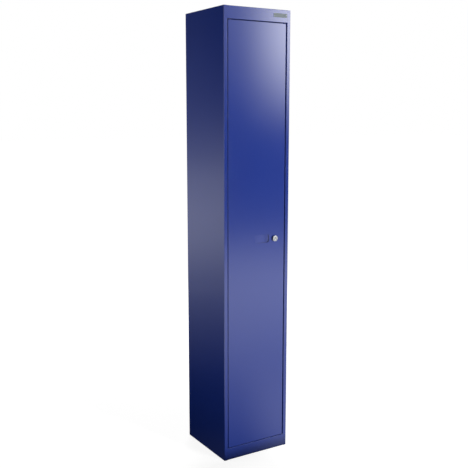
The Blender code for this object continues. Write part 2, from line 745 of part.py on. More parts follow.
def build_lock(door, lock):
    """Make the cam lock: body and nut fixed in the door, plug, cam and screw turning."""
    place = (LOCK_X, FRONT, LOCK_Z)
    bore = PLUG_RADIUS + RUN_CLEAR
    barrel_end = -(CAM_FRONT - RUN_CLEAR * 4)
    body = [
        (LOCK_HEAD_RADIUS - LOCK_HEAD_CHAMFER, LOCK_PROUD),
        (LOCK_HEAD_RADIUS, LOCK_PROUD - LOCK_HEAD_CHAMFER),
        (LOCK_HEAD_RADIUS, SEAM),
        (LOCK_BARREL_RADIUS, SEAM),
        (LOCK_BARREL_RADIUS, barrel_end),
        (bore, barrel_end),
        (bore, LOCK_PROUD),
    ]
    turned("lock_body", body, True, CHROME, place, along_y=True, parent=door)
    nut_front = FRONT + SHEET + SEAM
    nut_outline = circle_outline((LOCK_Z, LOCK_X), NUT_ACROSS_CORNERS / 2, 6)
    nut = prism("lock_nut", nut_outline, "Y", nut_front, nut_front + NUT_THICKNESS, ZINC, parent=door)
    nut_hole = cut_round(
        "nut_hole",
        "Y",
        (LOCK_Z, LOCK_X),
        LOCK_BARREL_RADIUS + SEAM,
        nut_front - CUT_OVERRUN,
        nut_front + NUT_THICKNESS + CUT_OVERRUN,
        parent=door,
        steps=ROUND_STEPS,
    )
    combine(nut, nut_hole, "DIFFERENCE")
    shoulder = -(CAM_FRONT - SEAM)
    face = LOCK_PROUD - PLUG_RECESS
    plug_profile = [(0.0, face), (PLUG_RADIUS, face), (PLUG_RADIUS, shoulder), (0.0, shoulder)]
    plug = turned("lock_plug", plug_profile, False, CHROME, place, along_y=True, parent=lock)
    half = SHANK_SIDE / 2
    shank_outline = box_outline((LOCK_Z - half, LOCK_X - half), (LOCK_Z + half, LOCK_X + half))
    shank_start = FRONT + CAM_FRONT - CAM_THICKNESS
    shank_end = FRONT + CAM_BACK - SEAM
    shank = as_cutter(prism("plug_shank", shank_outline, "Y", shank_start, shank_end, group=CUTTERS, parent=lock))
    combine(plug, shank, "UNION")
    key_low = (LOCK_X - KEYWAY_WIDTH / 2, FRONT - LOCK_PROUD - CUT_OVERRUN, LOCK_Z - KEYWAY_HEIGHT / 2)
    key_high = (LOCK_X + KEYWAY_WIDTH / 2, FRONT - face + KEYWAY_DEPTH, LOCK_Z + KEYWAY_HEIGHT / 2)
    combine(plug, cut_box("keyway", key_low, key_high, parent=lock), "DIFFERENCE")
    screw_tip = FRONT + CAM_BACK - SCREW_LENGTH
    thread_hole = cut_round(
        "plug_thread_hole",
        "Y",
        (LOCK_Z, LOCK_X),
        SCREW_RADIUS + SEAM,
        screw_tip - SEAM,
        shank_end + CUT_OVERRUN,
        parent=lock,
    )
    combine(plug, thread_hole, "DIFFERENCE")
    cam = prism("lock_cam", cam_outline(), "Y", FRONT + CAM_FRONT, FRONT + CAM_BACK, ZINC, parent=lock)
    gap = half + SEAM
    square = box_outline((LOCK_Z - gap, LOCK_X - gap), (LOCK_Z + gap, LOCK_X + gap))
    cam_hole = as_cutter(
        prism(
            "cam_hole",
            square,
            "Y",
            FRONT + CAM_FRONT - CUT_OVERRUN,
            FRONT + CAM_BACK + CUT_OVERRUN,
            group=CUTTERS,
            parent=lock,
        )
    )
    combine(cam, cam_hole, "DIFFERENCE")
    under_head = -(CAM_BACK + SEAM)
    head_end = under_head - SCREW_HEAD_HEIGHT
    screw = [
        (0.0, -(CAM_BACK - SCREW_LENGTH)),
        (SCREW_RADIUS, -(CAM_BACK - SCREW_LENGTH)),
        (SCREW_RADIUS, under_head),
        (SCREW_HEAD_RADIUS, under_head),
        (SCREW_HEAD_RADIUS, head_end + SCREW_HEAD_HEIGHT * 0.3),
        (SCREW_HEAD_RADIUS * 0.75, head_end),
        (0.0, head_end),
    ]
    turned("cam_screw", screw, False, ZINC, place, along_y=True, parent=lock, steps=SMALL_STEPS)


def cam_outline():
    """Return the cam's outline, hanging down from the lock's axis, as (up, across) pairs."""
    tip_z = LOCK_Z - CAM_REACH + CAM_TIP_RADIUS
    lean = math.asin((CAM_HUB_RADIUS - CAM_TIP_RADIUS) / (LOCK_Z - tip_z))
    points = []
    for index in range(ARC_STEPS + 1):
        angle = -math.pi / 2 - lean + (math.pi + 2 * lean) * index / ARC_STEPS
        up = LOCK_Z + CAM_HUB_RADIUS * math.cos(angle)
        points.append((up, LOCK_X + CAM_HUB_RADIUS * math.sin(angle)))
    for index in range(ARC_STEPS + 1):
        angle = math.pi / 2 + lean + (math.pi - 2 * lean) * index / ARC_STEPS
        up = tip_z + CAM_TIP_RADIUS * math.cos(angle)
        points.append((up, LOCK_X + CAM_TIP_RADIUS * math.sin(angle)))
    return points


def build_shelf():
    """Make the hat shelf as a pan turned upside down."""
    low = (-INNER_HALF, FRONT + STOP_BACK + SHELF_SETBACK, SHELF_TOP - SHELF_FLANGE)
    high = (INNER_HALF, REAR_INSIDE, SHELF_TOP)
    shelf = make_object("hat_shelf", open_pan(low, high, (0, 0, -1), 0.0), PAINT)
    add_bend(shelf)
    add_sheet(shelf)


def build_rail(slide):
    """Make the coat rail, its sockets and the double hook that slides on it."""
    centre = (RAIL_Y, RAIL_Z)
    rail_half = INNER_HALF - SOCKET_BASE - SEAM
    rail_outline = stadium(centre, RAIL_HEIGHT, RAIL_WIDTH, 0.0)
    rail = prism("coat_rail", rail_outline, "X", -rail_half, rail_half, CHROME)
    bore = prism(
        "rail_bore",
        stadium(centre, RAIL_HEIGHT, RAIL_WIDTH, -RAIL_WALL),
        "X",
        -rail_half - CUT_OVERRUN,
        rail_half + CUT_OVERRUN,
        group=CUTTERS,
    )
    combine(rail, as_cutter(bore), "DIFFERENCE")
    pocket_outline = stadium(centre, RAIL_HEIGHT, RAIL_WIDTH, SEAM)
    socket_outline = stadium(centre, RAIL_HEIGHT, RAIL_WIDTH, SEAM + SOCKET_WALL)
    mouth = INNER_HALF - SOCKET_LENGTH
    floor = INNER_HALF - SOCKET_BASE
    for side, sign in (("left", -1), ("right", 1)):
        ends = sorted((sign * mouth, sign * INNER_HALF))
        socket = prism(side + "_rail_socket", socket_outline, "X", *ends, NYLON)
        ends = sorted((sign * (mouth - CUT_OVERRUN), sign * floor))
        pocket = as_cutter(prism(side + "_socket_pocket", pocket_outline, "X", *ends, group=CUTTERS))
        combine(socket, pocket, "DIFFERENCE")
    ring_outline = stadium(centre, RAIL_HEIGHT, RAIL_WIDTH, HOOK_CLEAR + HOOK_WALL)
    hole_outline = stadium(centre, RAIL_HEIGHT, RAIL_WIDTH, HOOK_CLEAR)
    reach = HOOK_LENGTH / 2
    hook = prism("coat_hook", ring_outline, "X", -reach, reach, ZINC, parent=slide)
    hook_hole = prism(
        "hook_hole", hole_outline, "X", -reach - CUT_OVERRUN, reach + CUT_OVERRUN, group=CUTTERS, parent=slide
    )
    crest = HOOK_DROP - HOOK_WIRE_RADIUS * 2.6
    stem = [(0.0, -RAIL_HEIGHT / 2 - HOOK_CLEAR - HOOK_WALL / 2), (0.0, -crest)]
    stem_wire = as_cutter(wire("hook_stem", stem, HOOK_WIRE_RADIUS * 0.96, None, CUTTERS, slide))
    prongs_wire = as_cutter(wire("hook_prongs", prong_path(crest), HOOK_WIRE_RADIUS, None, CUTTERS, slide))
    combine(hook, stem_wire, "UNION")
    combine(hook, prongs_wire, "UNION")
    combine(hook, as_cutter(hook_hole), "DIFFERENCE")


def prong_path(crest):
    """Return the path of the two prongs from tip to tip below the rail's centre."""
    half = [
        (1.0, HOOK_DROP - HOOK_TIP_RISE),
        (1.0, HOOK_DROP - HOOK_TIP_RISE * 0.55),
        (0.93, HOOK_DROP - HOOK_TIP_RISE * 0.25),
        (0.79, HOOK_DROP - HOOK_TIP_RISE * 0.06),
        (0.6, HOOK_DROP),
        (0.4, (HOOK_DROP * 2 + crest) / 3),
        (0.18, (HOOK_DROP + crest * 3) / 4),
    ]
    front = [(-HOOK_SPREAD * share, -drop) for share, drop in half]
    rear = [(HOOK_SPREAD * share, -drop) for share, drop in reversed(half)]
    return front + [(0.0, -crest)] + rear


def main():
    """Build every piece of the locker."""
    door = make_empty("door_axis", (PIVOT_X, PIVOT_Y, 0))
    lock = make_empty("lock_axis", (LOCK_X, FRONT, LOCK_Z), door)
    slide = make_empty("hook_slide", (0, RAIL_Y, RAIL_Z))
    build_carcass()
    build_buffers()
    build_pins()
    build_door(door)
    build_lock(door, lock)
    build_shelf()
    build_rail(slide)


main()
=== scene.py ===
"""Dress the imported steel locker: painted sheets, cam lock, pivots, coat rail, hook and the studio around it."""

import math

import bmesh
import bpy
from bpy.props import FloatProperty, FloatVectorProperty, IntProperty, PointerProperty
from mathutils import Matrix, Vector


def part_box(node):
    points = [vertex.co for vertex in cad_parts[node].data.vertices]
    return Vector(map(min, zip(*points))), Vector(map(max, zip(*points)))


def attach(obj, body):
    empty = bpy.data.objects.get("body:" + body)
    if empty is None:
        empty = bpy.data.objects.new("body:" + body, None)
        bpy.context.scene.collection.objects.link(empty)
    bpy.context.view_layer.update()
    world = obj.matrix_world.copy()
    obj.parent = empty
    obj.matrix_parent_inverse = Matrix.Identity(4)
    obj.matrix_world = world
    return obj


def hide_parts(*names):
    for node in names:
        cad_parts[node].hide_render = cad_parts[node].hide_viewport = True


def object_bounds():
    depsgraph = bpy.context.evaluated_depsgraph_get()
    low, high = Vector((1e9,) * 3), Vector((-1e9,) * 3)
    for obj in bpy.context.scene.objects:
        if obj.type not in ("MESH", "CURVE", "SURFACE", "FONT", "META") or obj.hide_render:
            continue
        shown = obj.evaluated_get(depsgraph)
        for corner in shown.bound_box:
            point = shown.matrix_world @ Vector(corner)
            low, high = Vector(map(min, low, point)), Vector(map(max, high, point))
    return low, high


bl_info = {
    "name": "Steel locker dressing",
    "version": (1, 0, 0),
    "blender": (4, 5, 0),
    "location": "3D View > Sidebar > Locker",
    "description": "Makes the painted sheets, fittings and studio of a tall steel locker",
    "category": "Object",
}

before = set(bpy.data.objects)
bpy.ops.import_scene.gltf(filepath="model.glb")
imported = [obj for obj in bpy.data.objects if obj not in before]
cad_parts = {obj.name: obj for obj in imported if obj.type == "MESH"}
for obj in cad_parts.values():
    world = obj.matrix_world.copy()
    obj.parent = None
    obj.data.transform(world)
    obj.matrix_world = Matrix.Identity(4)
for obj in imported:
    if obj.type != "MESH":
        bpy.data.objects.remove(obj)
CAD_LOW, CAD_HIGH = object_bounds()

MM = 0.001
QUARTER = math.pi / 2
SAME_POINT = 1e-5
FLAT_WITHIN = math.radians(0.6)
CREASE = math.radians(32)
ROUND = 64
NODE_STEP = 190
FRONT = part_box("door_skin")[0].y
SEAM = 0.3 * MM
SHEET = 1.0 * MM
FOLD = 2.0 * MM
PIVOT_PLATE = 2.0 * MM
BEND_REACH = 0.3 * MM


def number(name, description, default, **kind):
    """Return a property for a number."""
    return FloatProperty(name=name, description=description, default=default, **kind)


def length(name, description, default):
    """Return a property for a length that is given in millimetres."""
    return number(name, description, default * MM, min=0.0, precision=5, unit="LENGTH")


def colour(name, description, default):
    """Return a property for a colour."""
    return FloatVectorProperty(
        name=name, description=description, default=(*default, 1.0), size=4, min=0.0, max=1.0, subtype="COLOR"
    )


class PaintSettings(bpy.types.PropertyGroup):
    """Finish of the powder-coated sheets."""

    blue: colour("Blue", "Colour of the powder coat", (0.0125, 0.032, 0.215))
    gloss: number("Roughness", "How far the coat spreads its reflections", 0.15, min=0.0, max=1.0, subtype="FACTOR")
    shine: number("Shine", "Index of refraction of the coat", 1.78, min=1.0, max=2.5)
    peel_size: length("Peel size", "Width of the ripples in the baked coat", 2.6)
    peel_depth: length("Peel depth", "Depth of the ripples in the baked coat", 0.006)
    crease: length("Crease", "Outer radius of the folds above and below the door", 0.7)
    fascia: length("Fascia", "Height of the fascia above the door", 48)


class FittingSettings(bpy.types.PropertyGroup):
    """Colours of the bright and moulded fittings."""

    chrome: colour("Chrome", "Colour of the plated lock and rail", (0.82, 0.84, 0.87))
    # Painted shade: this dark colour stands in for the shadow and dark reflection on the lock's collar and in its
    # keyway.
    painted_shade: colour("Shade-painted chrome", "Colour of the lock's dark collar and keyway", (0.1, 0.105, 0.12))
    zinc: colour("Zinc", "Colour of the zinc-plated steel", (0.55, 0.57, 0.6))
    nylon: colour("Nylon", "Colour of the moulded nylon", (0.018, 0.018, 0.02))
    rubber: colour("Rubber", "Colour of the rubber buffers", (0.05, 0.05, 0.053))
    edge: length("Edge", "Rounding of the edges of small fittings", 0.25)


class PullSettings(bpy.types.PropertyGroup):
    """Finger pull pressed in the door."""

    right: length("Right end", "Place of the pull's right end from the middle of the door", 58)
    up: length("Up", "Height of the pull's middle above the floor", 905)
    half: length("Half height", "Half of the pull's height", 16.5)
    corner: length("Corner", "Radius of the pull's corners", 10)
    lip: length("Lip", "Radius of the edge where the pull leaves the door's face", 0.3)


class LockSettings(bpy.types.PropertyGroup):
    """Sizes of the cam lock."""

    rim: length("Rim", "Radius of the rounded edge of the lock's head", 0.6)
    key_width: length("Keyway width", "Width of the keyway", 2.0)
    key_height: length("Keyway height", "Height of the keyway", 7.0)
    pitch: length("Thread pitch", "Pitch of the thread on the lock's barrel", 1.0)
    thread: length("Thread depth", "Depth of the thread on the lock's barrel", 0.45)
    ward: length("Ward", "How far the wards stand into the keyway", 0.5)
    recess: length("Screw recess", "Depth of the cross recess in the cam's screw", 1.4)


class WeldSettings(bpy.types.PropertyGroup):
    """Spot welds that show as shallow round dents in the sheets."""

    radius: length("Radius", "Radius of a weld dent at the surface", 2.6)
    depth: length("Depth", "Depth of a weld dent", 0.25)
    side_count: IntProperty(name="Side welds", description="Welds in each rear flange", default=14, min=2)
    rib_count: IntProperty(name="Stiffener welds", description="Welds in each row of the stiffener", default=11, min=2)


class PlateSettings(bpy.types.PropertyGroup):
    """The blank plate on the fascia."""

    width: length("Width", "Width of the blank plate", 64)
    height: length("Height", "Height of the blank plate", 15)
    thickness: length("Thickness", "Thickness of the blank plate", 0.5)
    across: number("Across", "Middle of the plate from the middle of the fascia", 0.104, unit="LENGTH")
    up: length("Up", "Height of the plate's middle above the floor", 1780)
    rivet: length("Rivet", "Radius of the plate's rivets", 1.5)
    satin: colour("Satin", "Colour of the brushed plate", (0.11, 0.135, 0.15))


class StageSettings(bpy.types.PropertyGroup):
    """The studio: floor, lights and the cards that the paint reflects."""

    floor: colour("Floor", "Colour of the pale floor", (0.86, 0.86, 0.86))
    fill: number("Fill", "Strength of the light from all around", 0.26, min=0.0)
    key: number("Key", "Power of the large soft light in front", 128.0, min=0.0)
    side: number("Side light", "Power of the small soft light beside the left wall", 4.2, min=0.0)
    rear: number("Rear light", "Power of the soft light behind on the right", 38.0, min=0.0)
    flag: length("Flag", "Height of the flag that keeps the front light off the plinth's foot", 79)
    window: number("Window", "Strength of the soft box that shows in the top of the door", 6.9, min=0.0)
    camera: FloatVectorProperty(
        name="Camera", description="Place of the camera", default=(-1.6239, -2.6245, 1.3929), subtype="TRANSLATION"
    )
    tilt: number("Tilt", "How far the camera looks down", 0.1563, subtype="ANGLE")
    turn: number("Turn", "How far the camera turns to the right", 0.5501, subtype="ANGLE")
    lens: number("Lens", "Focal length of the camera in millimetres", 57.559)


# Node helpers and materials


def join(node, values):
    """Set the inputs of a node; a value that is a node or a socket is linked."""
    for key, value in values.items():
        if isinstance(value, bpy.types.Node):
            value = value.outputs[0]
        if isinstance(value, bpy.types.NodeSocket):
            node.id_data.links.new(value, node.inputs[key])
        else:
            node.inputs[key].default_value = value


def add(tree, kind, at, values=None, **settings):
    """Add a node at a place, with its settings and its inputs."""
    node = tree.nodes.new(kind)
    node.location = (at[0] * NODE_STEP, at[1] * NODE_STEP)
    for key, value in settings.items():
        setattr(node, key, value)
    join(node, values or {})
    return node


def maths(tree, operation, at, *values):
    """Add a math node with its values in order."""
    return add(tree, "ShaderNodeMath", at, dict(enumerate(values)), operation=operation)


def new_group(name, kind, inputs, outputs):
    """Make a node group with named sockets and return it with the sockets it is given and its end node."""
    tree = bpy.data.node_groups.new(name, kind)
    for direction, sockets in (("INPUT", inputs), ("OUTPUT", outputs)):
        for label, socket, *default in sockets:
            made = tree.interface.new_socket(label, in_out=direction, socket_type="NodeSocket" + socket)
            if default:
                made.default_value = default[0]
    return tree, add(tree, "NodeGroupInput", (-6, 0)).outputs, add(tree, "NodeGroupOutput", (6, 0))


def tone_drift():
    """Return the group that lets a colour and its roughness drift slowly over a surface."""
    if "Tone drift" in bpy.data.node_groups:
        return bpy.data.node_groups["Tone drift"]
    inputs = [("Colour", "Color", (0.5, 0.5, 0.5, 1)), ("Colour drift", "Float", 0.05), ("Roughness", "Float", 0.3)]
    inputs += [("Roughness drift", "Float", 0.03), ("Patch size", "Float", 0.1)]
    outputs = [("Colour", "Color"), ("Roughness", "Float")]
    tree, given, end = new_group("Tone drift", "ShaderNodeTree", inputs, outputs)
    place = add(tree, "ShaderNodeTexCoord", (-5, 1)).outputs["Object"]
    rate = maths(tree, "DIVIDE", (-4, -1), 1.0, given["Patch size"])
    patches = {"Vector": place, "Scale": rate, "Detail": 3.0, "Roughness": 0.55}
    broad = add(tree, "ShaderNodeTexNoise", (-3, 1), patches)
    centred = maths(tree, "SUBTRACT", (-2, 1), broad, 0.5)
    value = maths(tree, "MULTIPLY_ADD", (-1, 1), centred, given["Colour drift"], 1.0)
    tinted = add(tree, "ShaderNodeHueSaturation", (1, 1), {"Value": value, "Color": given["Colour"]})
    rough = maths(tree, "MULTIPLY_ADD", (1, -1), centred, given["Roughness drift"], given["Roughness"])
    join(end, {"Colour": tinted, "Roughness": rough})
    return tree


def fine_relief():
    """Return the group that gives a surface its small ripples or grain, stretched along one way if asked."""
    if "Fine relief" in bpy.data.node_groups:
        return bpy.data.node_groups["Fine relief"]
    inputs = [("Ripple size", "Float", 0.0025), ("Fine share", "Float", 0.25), ("Stretch", "Vector", (1, 1, 1))]
    tree, given, end = new_group("Fine relief", "ShaderNodeTree", inputs, [("Height", "Float")])
    place = add(tree, "ShaderNodeTexCoord", (-5, 1)).outputs["Object"]
    pull = add(tree, "ShaderNodeVectorMath", (-4, 1), {0: place, 1: given["Stretch"]}, operation="MULTIPLY")
    rate = maths(tree, "DIVIDE", (-4, -1), 1.0, given["Ripple size"])
    finer = maths(tree, "MULTIPLY", (-3, -1), rate, 4.3)
    ripple = add(tree, "ShaderNodeTexNoise", (-2, 1), {"Vector": pull, "Scale": rate, "Detail": 1.0})
    grain = add(tree, "ShaderNodeTexNoise", (-2, -1), {"Vector": pull, "Scale": finer, "Detail": 2.0})
    join(end, {"Height": maths(tree, "MULTIPLY_ADD", (0, 0), grain, given["Fine share"], ripple)})
    return tree


def finish(name, tones, relief, depth, **shader):
    """Return a material whose colour and roughness drift and whose surface has a fine relief."""
    if name in bpy.data.materials:
        return bpy.data.materials[name]
    material = bpy.data.materials.new(name)
    material.use_nodes = True
    tree = material.node_tree
    drift = add(tree, "ShaderNodeGroup", (-3, 2), dict(enumerate(tones)), node_tree=tone_drift())
    grain = add(tree, "ShaderNodeGroup", (-3, -1), dict(enumerate(relief)), node_tree=fine_relief())
    bump = add(tree, "ShaderNodeBump", (-1, -1), {"Strength": 1.0, "Distance": depth, "Height": grain})
    surface = {"Base Color": drift.outputs["Colour"], "Roughness": drift.outputs["Roughness"], "Normal": bump}
    join(tree.nodes["Principled BSDF"], {**shader, **surface})
    return material


def powder_coat():
    """Return the satin blue powder coat with its faint orange peel."""
    paint = bpy.context.scene.locker_paint
    tones = (paint.blue, 0.05, paint.gloss, 0.03, 0.22)
    return finish("powder coat", tones, (paint.peel_size, 0.15), paint.peel_depth, IOR=paint.shine)


def brushed_satin():
    """Return the brushed finish of the blank plate, with its grain lying along the plate."""
    tones = (bpy.context.scene.locker_plate.satin, 0.16, 0.36, 0.12, 9 * MM)
    return finish("brushed satin", tones, (0.5 * MM, 0.7, (0.03, 1, 1)), 0.006 * MM)


# Each finish: colour, its drift, roughness, its drift and patch size; ripple size, share of fine grain and depth of the
# relief; how metallic it is. Sizes are in millimetres.
FITTING_FINISHES = {
    "plated chrome": ("chrome", 0.12, 0.2, 0.12, 6.0, 1.2, 0.5, 0.004, 1.0),
    # The dark chrome below is painted shade and painted dark reflection for the lock's collar and keyway, not a plating
    # of its own.
    "shade-painted chrome": ("painted_shade", 0.2, 0.4, 0.12, 4.0, 1.0, 0.5, 0.006, 1.0),
    "zinc plating": ("zinc", 0.25, 0.38, 0.2, 5.0, 0.8, 0.6, 0.008, 1.0),
    "moulded nylon": ("nylon", 0.3, 0.46, 0.14, 7.0, 0.5, 0.6, 0.02, 0.0),
    "matt rubber": ("rubber", 0.4, 0.78, 0.14, 4.0, 0.4, 0.8, 0.03, 0.0),
}


def fitting(name):
    """Return the finish of a fitting."""
    tint, drift, rough, rough_drift, patch, size, fine, depth, metal = FITTING_FINISHES[name]
    tones = (getattr(bpy.context.scene.locker_fittings, tint), drift, rough, rough_drift, patch * MM)
    return finish(name, tones, (size * MM, fine), depth * MM, Metallic=metal)


# Mesh helpers


def shade(mesh):
    """Shade a mesh smooth with sharp creases."""
    mesh.shade_smooth()
    mesh.set_sharp_from_angle(angle=CREASE)


def new_piece(name, form, material):
    """Turn a bmesh form into an object with one material, smooth faces and sharp creases."""
    mesh = bpy.data.meshes.new(name)
    form.to_mesh(mesh)
    form.free()
    mesh.materials.append(material)
    shade(mesh)
    piece = bpy.data.objects.new(name, mesh)
    bpy.context.scene.collection.objects.link(piece)
    return piece


def merged_copy(name, node, material, bend=None):
    """Copy a CAD node with its points joined and its flat faces whole; points near a tight bend's (x, z) meet there."""
    form = bmesh.new()
    form.from_mesh(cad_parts[node].data)
    for vertex in form.verts if bend else ():
        if math.hypot(vertex.co.x - bend[0], vertex.co.z - bend[1]) < BEND_REACH:
            vertex.co.x, vertex.co.z = bend
    bmesh.ops.remove_doubles(form, verts=form.verts, dist=SAME_POINT)
    bmesh.ops.dissolve_limit(form, angle_limit=FLAT_WITHIN, verts=form.verts, edges=form.edges)
    return new_piece(name, form, material)


def modify(piece, kind, **settings):
    """Add a modifier with its settings."""
    modifier = piece.modifiers.new(kind, kind)
    for key, value in settings.items():
        setattr(modifier, key, value)
    return modifier


def even_shading(piece):
    """Let large faces decide how the folds beside them are shaded."""
    modify(piece, "WEIGHTED_NORMAL", keep_sharp=True, weight=80)


def round_edges(piece, width, steps=2):
    """Round the edges of a small fitting."""
    limit = {"limit_method": "ANGLE", "angle_limit": CREASE}
    modify(piece, "BEVEL", width=width, segments=steps, **limit, harden_normals=True)


def settle(piece):
    """Turn what an object's modifiers make into its plain mesh."""
    graph = bpy.context.evaluated_depsgraph_get()
    mesh = bpy.data.meshes.new_from_object(piece.evaluated_get(graph), depsgraph=graph)
    piece.modifiers.clear()
    old = piece.data
    piece.data = mesh
    mesh.name = piece.name
    bpy.data.meshes.remove(old)
    if not mesh.polygons:
        raise RuntimeError(piece.name + " has no faces left")


def combine(piece, tool, operation):
    """Cut a tool out of a piece, join it on or keep what both share, and drop the tool."""
    modify(piece, "BOOLEAN", operation=operation, solver="EXACT", material_mode="TRANSFER", object=tool)
    settle(piece)
    mesh = tool.data
    bpy.data.objects.remove(tool)
    bpy.data.meshes.remove(mesh)
    shade(piece.data)


def carve(piece, form, material, operation="DIFFERENCE"):
    """Combine a piece with a form."""
    combine(piece, new_piece("tool", form, material), operation)


def stand_in(piece, body, slot, *nodes):
    """Let a finished piece ride on a body, in place of the CAD nodes that it stands for."""
    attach(piece, body)
    if nodes:
        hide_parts(*nodes)


def rounded_copy(name, node, finish_name, width, steps, body, slot, bend=None):
    """Let a copy of a small CAD node with rounded edges stand for it."""
    piece = merged_copy(name, node, fitting(finish_name), bend)
    round_edges(piece, width, steps)
    stand_in(piece, body, slot, node)


def skin(rings, around=False, capped=False):
    """Make a form over rings of points; a ring of one point is a tip, and the last ring may meet the first."""
    form = bmesh.new()
    rings = [[form.verts.new(point) for point in ring] for ring in rings]
    if capped:
        form.faces.new(rings[0])
        form.faces.new(rings[-1][::-1])
    for near, far in zip(rings, rings[1:] + rings[:1] if around else rings[1:]):
        count = max(len(near), len(far))
        for step in range(count):
            after = (step + 1) % count
            corners = ((near, step), (near, after), (far, after), (far, step))
            corners = [ring[index % len(ring)] for ring, index in corners]
            form.faces.new(list(dict.fromkeys(corners)))
    bmesh.ops.recalc_face_normals(form, faces=form.faces)
    return form


def turned_form(rows, centre, closed=False, pitch=0.0, steps=ROUND):
    """Turn rows of (radius, y) about Y; a row of radius 0 is a tip, and a third value is the depth of a thread."""
    rings = []
    for radius, along, *thread in rows:
        ring = []
        for step in range(steps if radius else 1):
            part, reach = step / steps, radius
            if thread:
                reach -= thread[0] * abs(2 * ((along / pitch + part) % 1.0) - 1)
            turn = 2 * math.pi * part
            ring.append((centre[0] + reach * math.cos(turn), along, centre[1] + reach * math.sin(turn)))
        rings.append(ring)
    return skin(rings, closed)


def prism_form(outline, low, high):
    """Make a straight bar along Y over an outline of (x, z) pairs."""
    return skin([[(x, y, z) for x, z in outline] for y in (low, high)], capped=True)


def arc(centre, radius, first, last, steps=6):
    """Return pairs on an arc between two angles."""
    turns = [first + (last - first) * step / steps for step in range(steps + 1)]
    return [(centre[0] + radius * math.cos(turn), centre[1] + radius * math.sin(turn)) for turn in turns]


def box_outline(centre, wide, tall):
    """Return the outline of a box from its centre and half of its width and height."""
    return [(centre[0] + x * wide, centre[1] + z * tall) for x, z in ((-1, -1), (1, -1), (1, 1), (-1, 1))]


def rounded_box(low, high, corner, steps):
    """Return the outline of a box with round corners between two pairs."""
    outline = []
    for turn, (right, up) in enumerate(((1, 1), (0, 1), (0, 0), (1, 0))):
        across = high[0] - corner if right else low[0] + corner
        along = high[1] - corner if up else low[1] + corner
        outline += arc((across, along), corner, turn * QUARTER, (turn + 1) * QUARTER, steps)
    return outline


def oval_band(node, section, steps=20):
    """Sweep a closed section of (outward, x) pairs round the upright oval outline of a node."""
    low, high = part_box(node)
    radius, middle = (high.y - low.y) / 2, (low + high) / 2
    reach = (high.z - low.z) / 2 - radius
    section = [(x, radius + away) for away, x in section]
    rings = []
    for side, base in ((1, 0.0), (-1, math.pi)):
        for step in range(steps + 1):
            turn = base + math.pi * step / steps
            y, z = math.cos(turn), math.sin(turn)
            rings.append([(x, middle.y + out * y, middle.z + side * reach + out * z) for x, out in section])
    return skin(rings, around=True)


def wire_form(path, radii, steps=20):
    """Sweep a round wire of changing radius along a path in the Y and Z directions at x 0."""
    turns = [2 * math.pi * step / steps for step in range(steps)]
    rings = []
    for index, (point, radius) in enumerate(zip(path, radii)):
        ahead = path[min(index + 1, len(path) - 1)] - path[max(index - 1, 0)]
        across = Vector((0, -ahead.z, ahead.y)).normalized()
        rings.append([point + (across * math.cos(t) + Vector((1, 0, 0)) * math.sin(t)) * radius for t in turns])
    return skin(rings, capped=True)


def smooth_path(points, parts=8):
    """Return points on a smooth curve through the given points."""
    padded = [points[0] * 2 - points[1], *points, points[-1] * 2 - points[-2]]
    path = []
    for a, b, c, d in zip(padded, padded[1:], padded[2:], padded[3:]):
        bend, twist = a * 2 - b * 5 + c * 4 - d, b * 3 - a - c * 3 + d
        for t in (step / parts for step in range(parts)):
            path.append(b + (c - a) * (0.5 * t) + bend * (0.5 * t * t) + twist * (0.5 * t * t * t))
    path.append(points[-1])
    return path


# Geometry node trees


def line(tree, at, count, step, start=(0, 0, 0)):
    """Add a row of points."""
    values = {"Count": count, "Offset": step, "Start Location": start}
    return add(tree, "GeometryNodeMeshLine", at, values, mode="OFFSET")


def placed(tree, at, points, item, **values):
    """Set an item on points and make the result plain mesh."""
    copies = add(tree, "GeometryNodeInstanceOnPoints", at, {"Points": points, "Instance": item, **values})
    return add(tree, "GeometryNodeRealizeInstances", (at[0] + 1, at[1]), {0: copies})


def coated(tree, at, geometry, material):
    """Make geometry plain mesh and give it its material."""
    whole = add(tree, "GeometryNodeRealizeInstances", at, {0: geometry})
    return add(tree, "GeometryNodeSetMaterial", (at[0] + 1, at[1]), {"Geometry": whole, "Material": material})


def weld_rows():
    """Return the tree that presses rows of round weld dents into a sheet that faces the back."""
    if "Weld rows" in bpy.data.node_groups:
        return bpy.data.node_groups["Weld rows"]
    inputs = [("Sheet", "Geometry"), ("First weld", "Vector", (0, 0, 0)), ("Step", "Vector", (0, 0, 0.1))]
    inputs += [("Next row", "Vector", (0, 0, 0)), ("Count", "Int", 10), ("Rows", "Int", 1)]
    inputs += [("Radius", "Float", 0.0026), ("Depth", "Float", 0.00025), ("Finish", "Material")]
    tree, given, end = new_group("Weld rows", "GeometryNodeTree", inputs, [("Sheet", "Geometry")])
    row = line(tree, (-4, 2), given["Count"], given["Step"], given["First weld"])
    rows = line(tree, (-4, 0), given["Rows"], given["Next row"])
    spread = placed(tree, (-3, 1), rows, row)
    deep = maths(tree, "MULTIPLY", (-4, -2), given["Depth"], 2.0)
    foot = maths(tree, "MULTIPLY", (-4, -3), given["Radius"], 0.7)
    cone = {"Vertices": 20, "Radius Bottom": given["Radius"], "Radius Top": foot, "Depth": deep}
    tool = add(tree, "GeometryNodeMeshCone", (-3, -2), cone)
    lift = maths(tree, "MULTIPLY", (-3, -3), given["Depth"], -1.0)
    back = add(tree, "ShaderNodeCombineXYZ", (-2, -3), {"Z": lift})
    centred = add(tree, "GeometryNodeTransform", (-1, -2), {"Geometry": tool, "Translation": back})
    dents = placed(tree, (0, 1), spread, centred, Rotation=(QUARTER, 0, 0))
    cut = {"Mesh 1": given["Sheet"], "Mesh 2": dents}
    pressed = add(tree, "GeometryNodeMeshBoolean", (2, 0), cut, operation="DIFFERENCE")
    join(end, {"Sheet": coated(tree, (3, 0), pressed, given["Finish"])})
    return tree


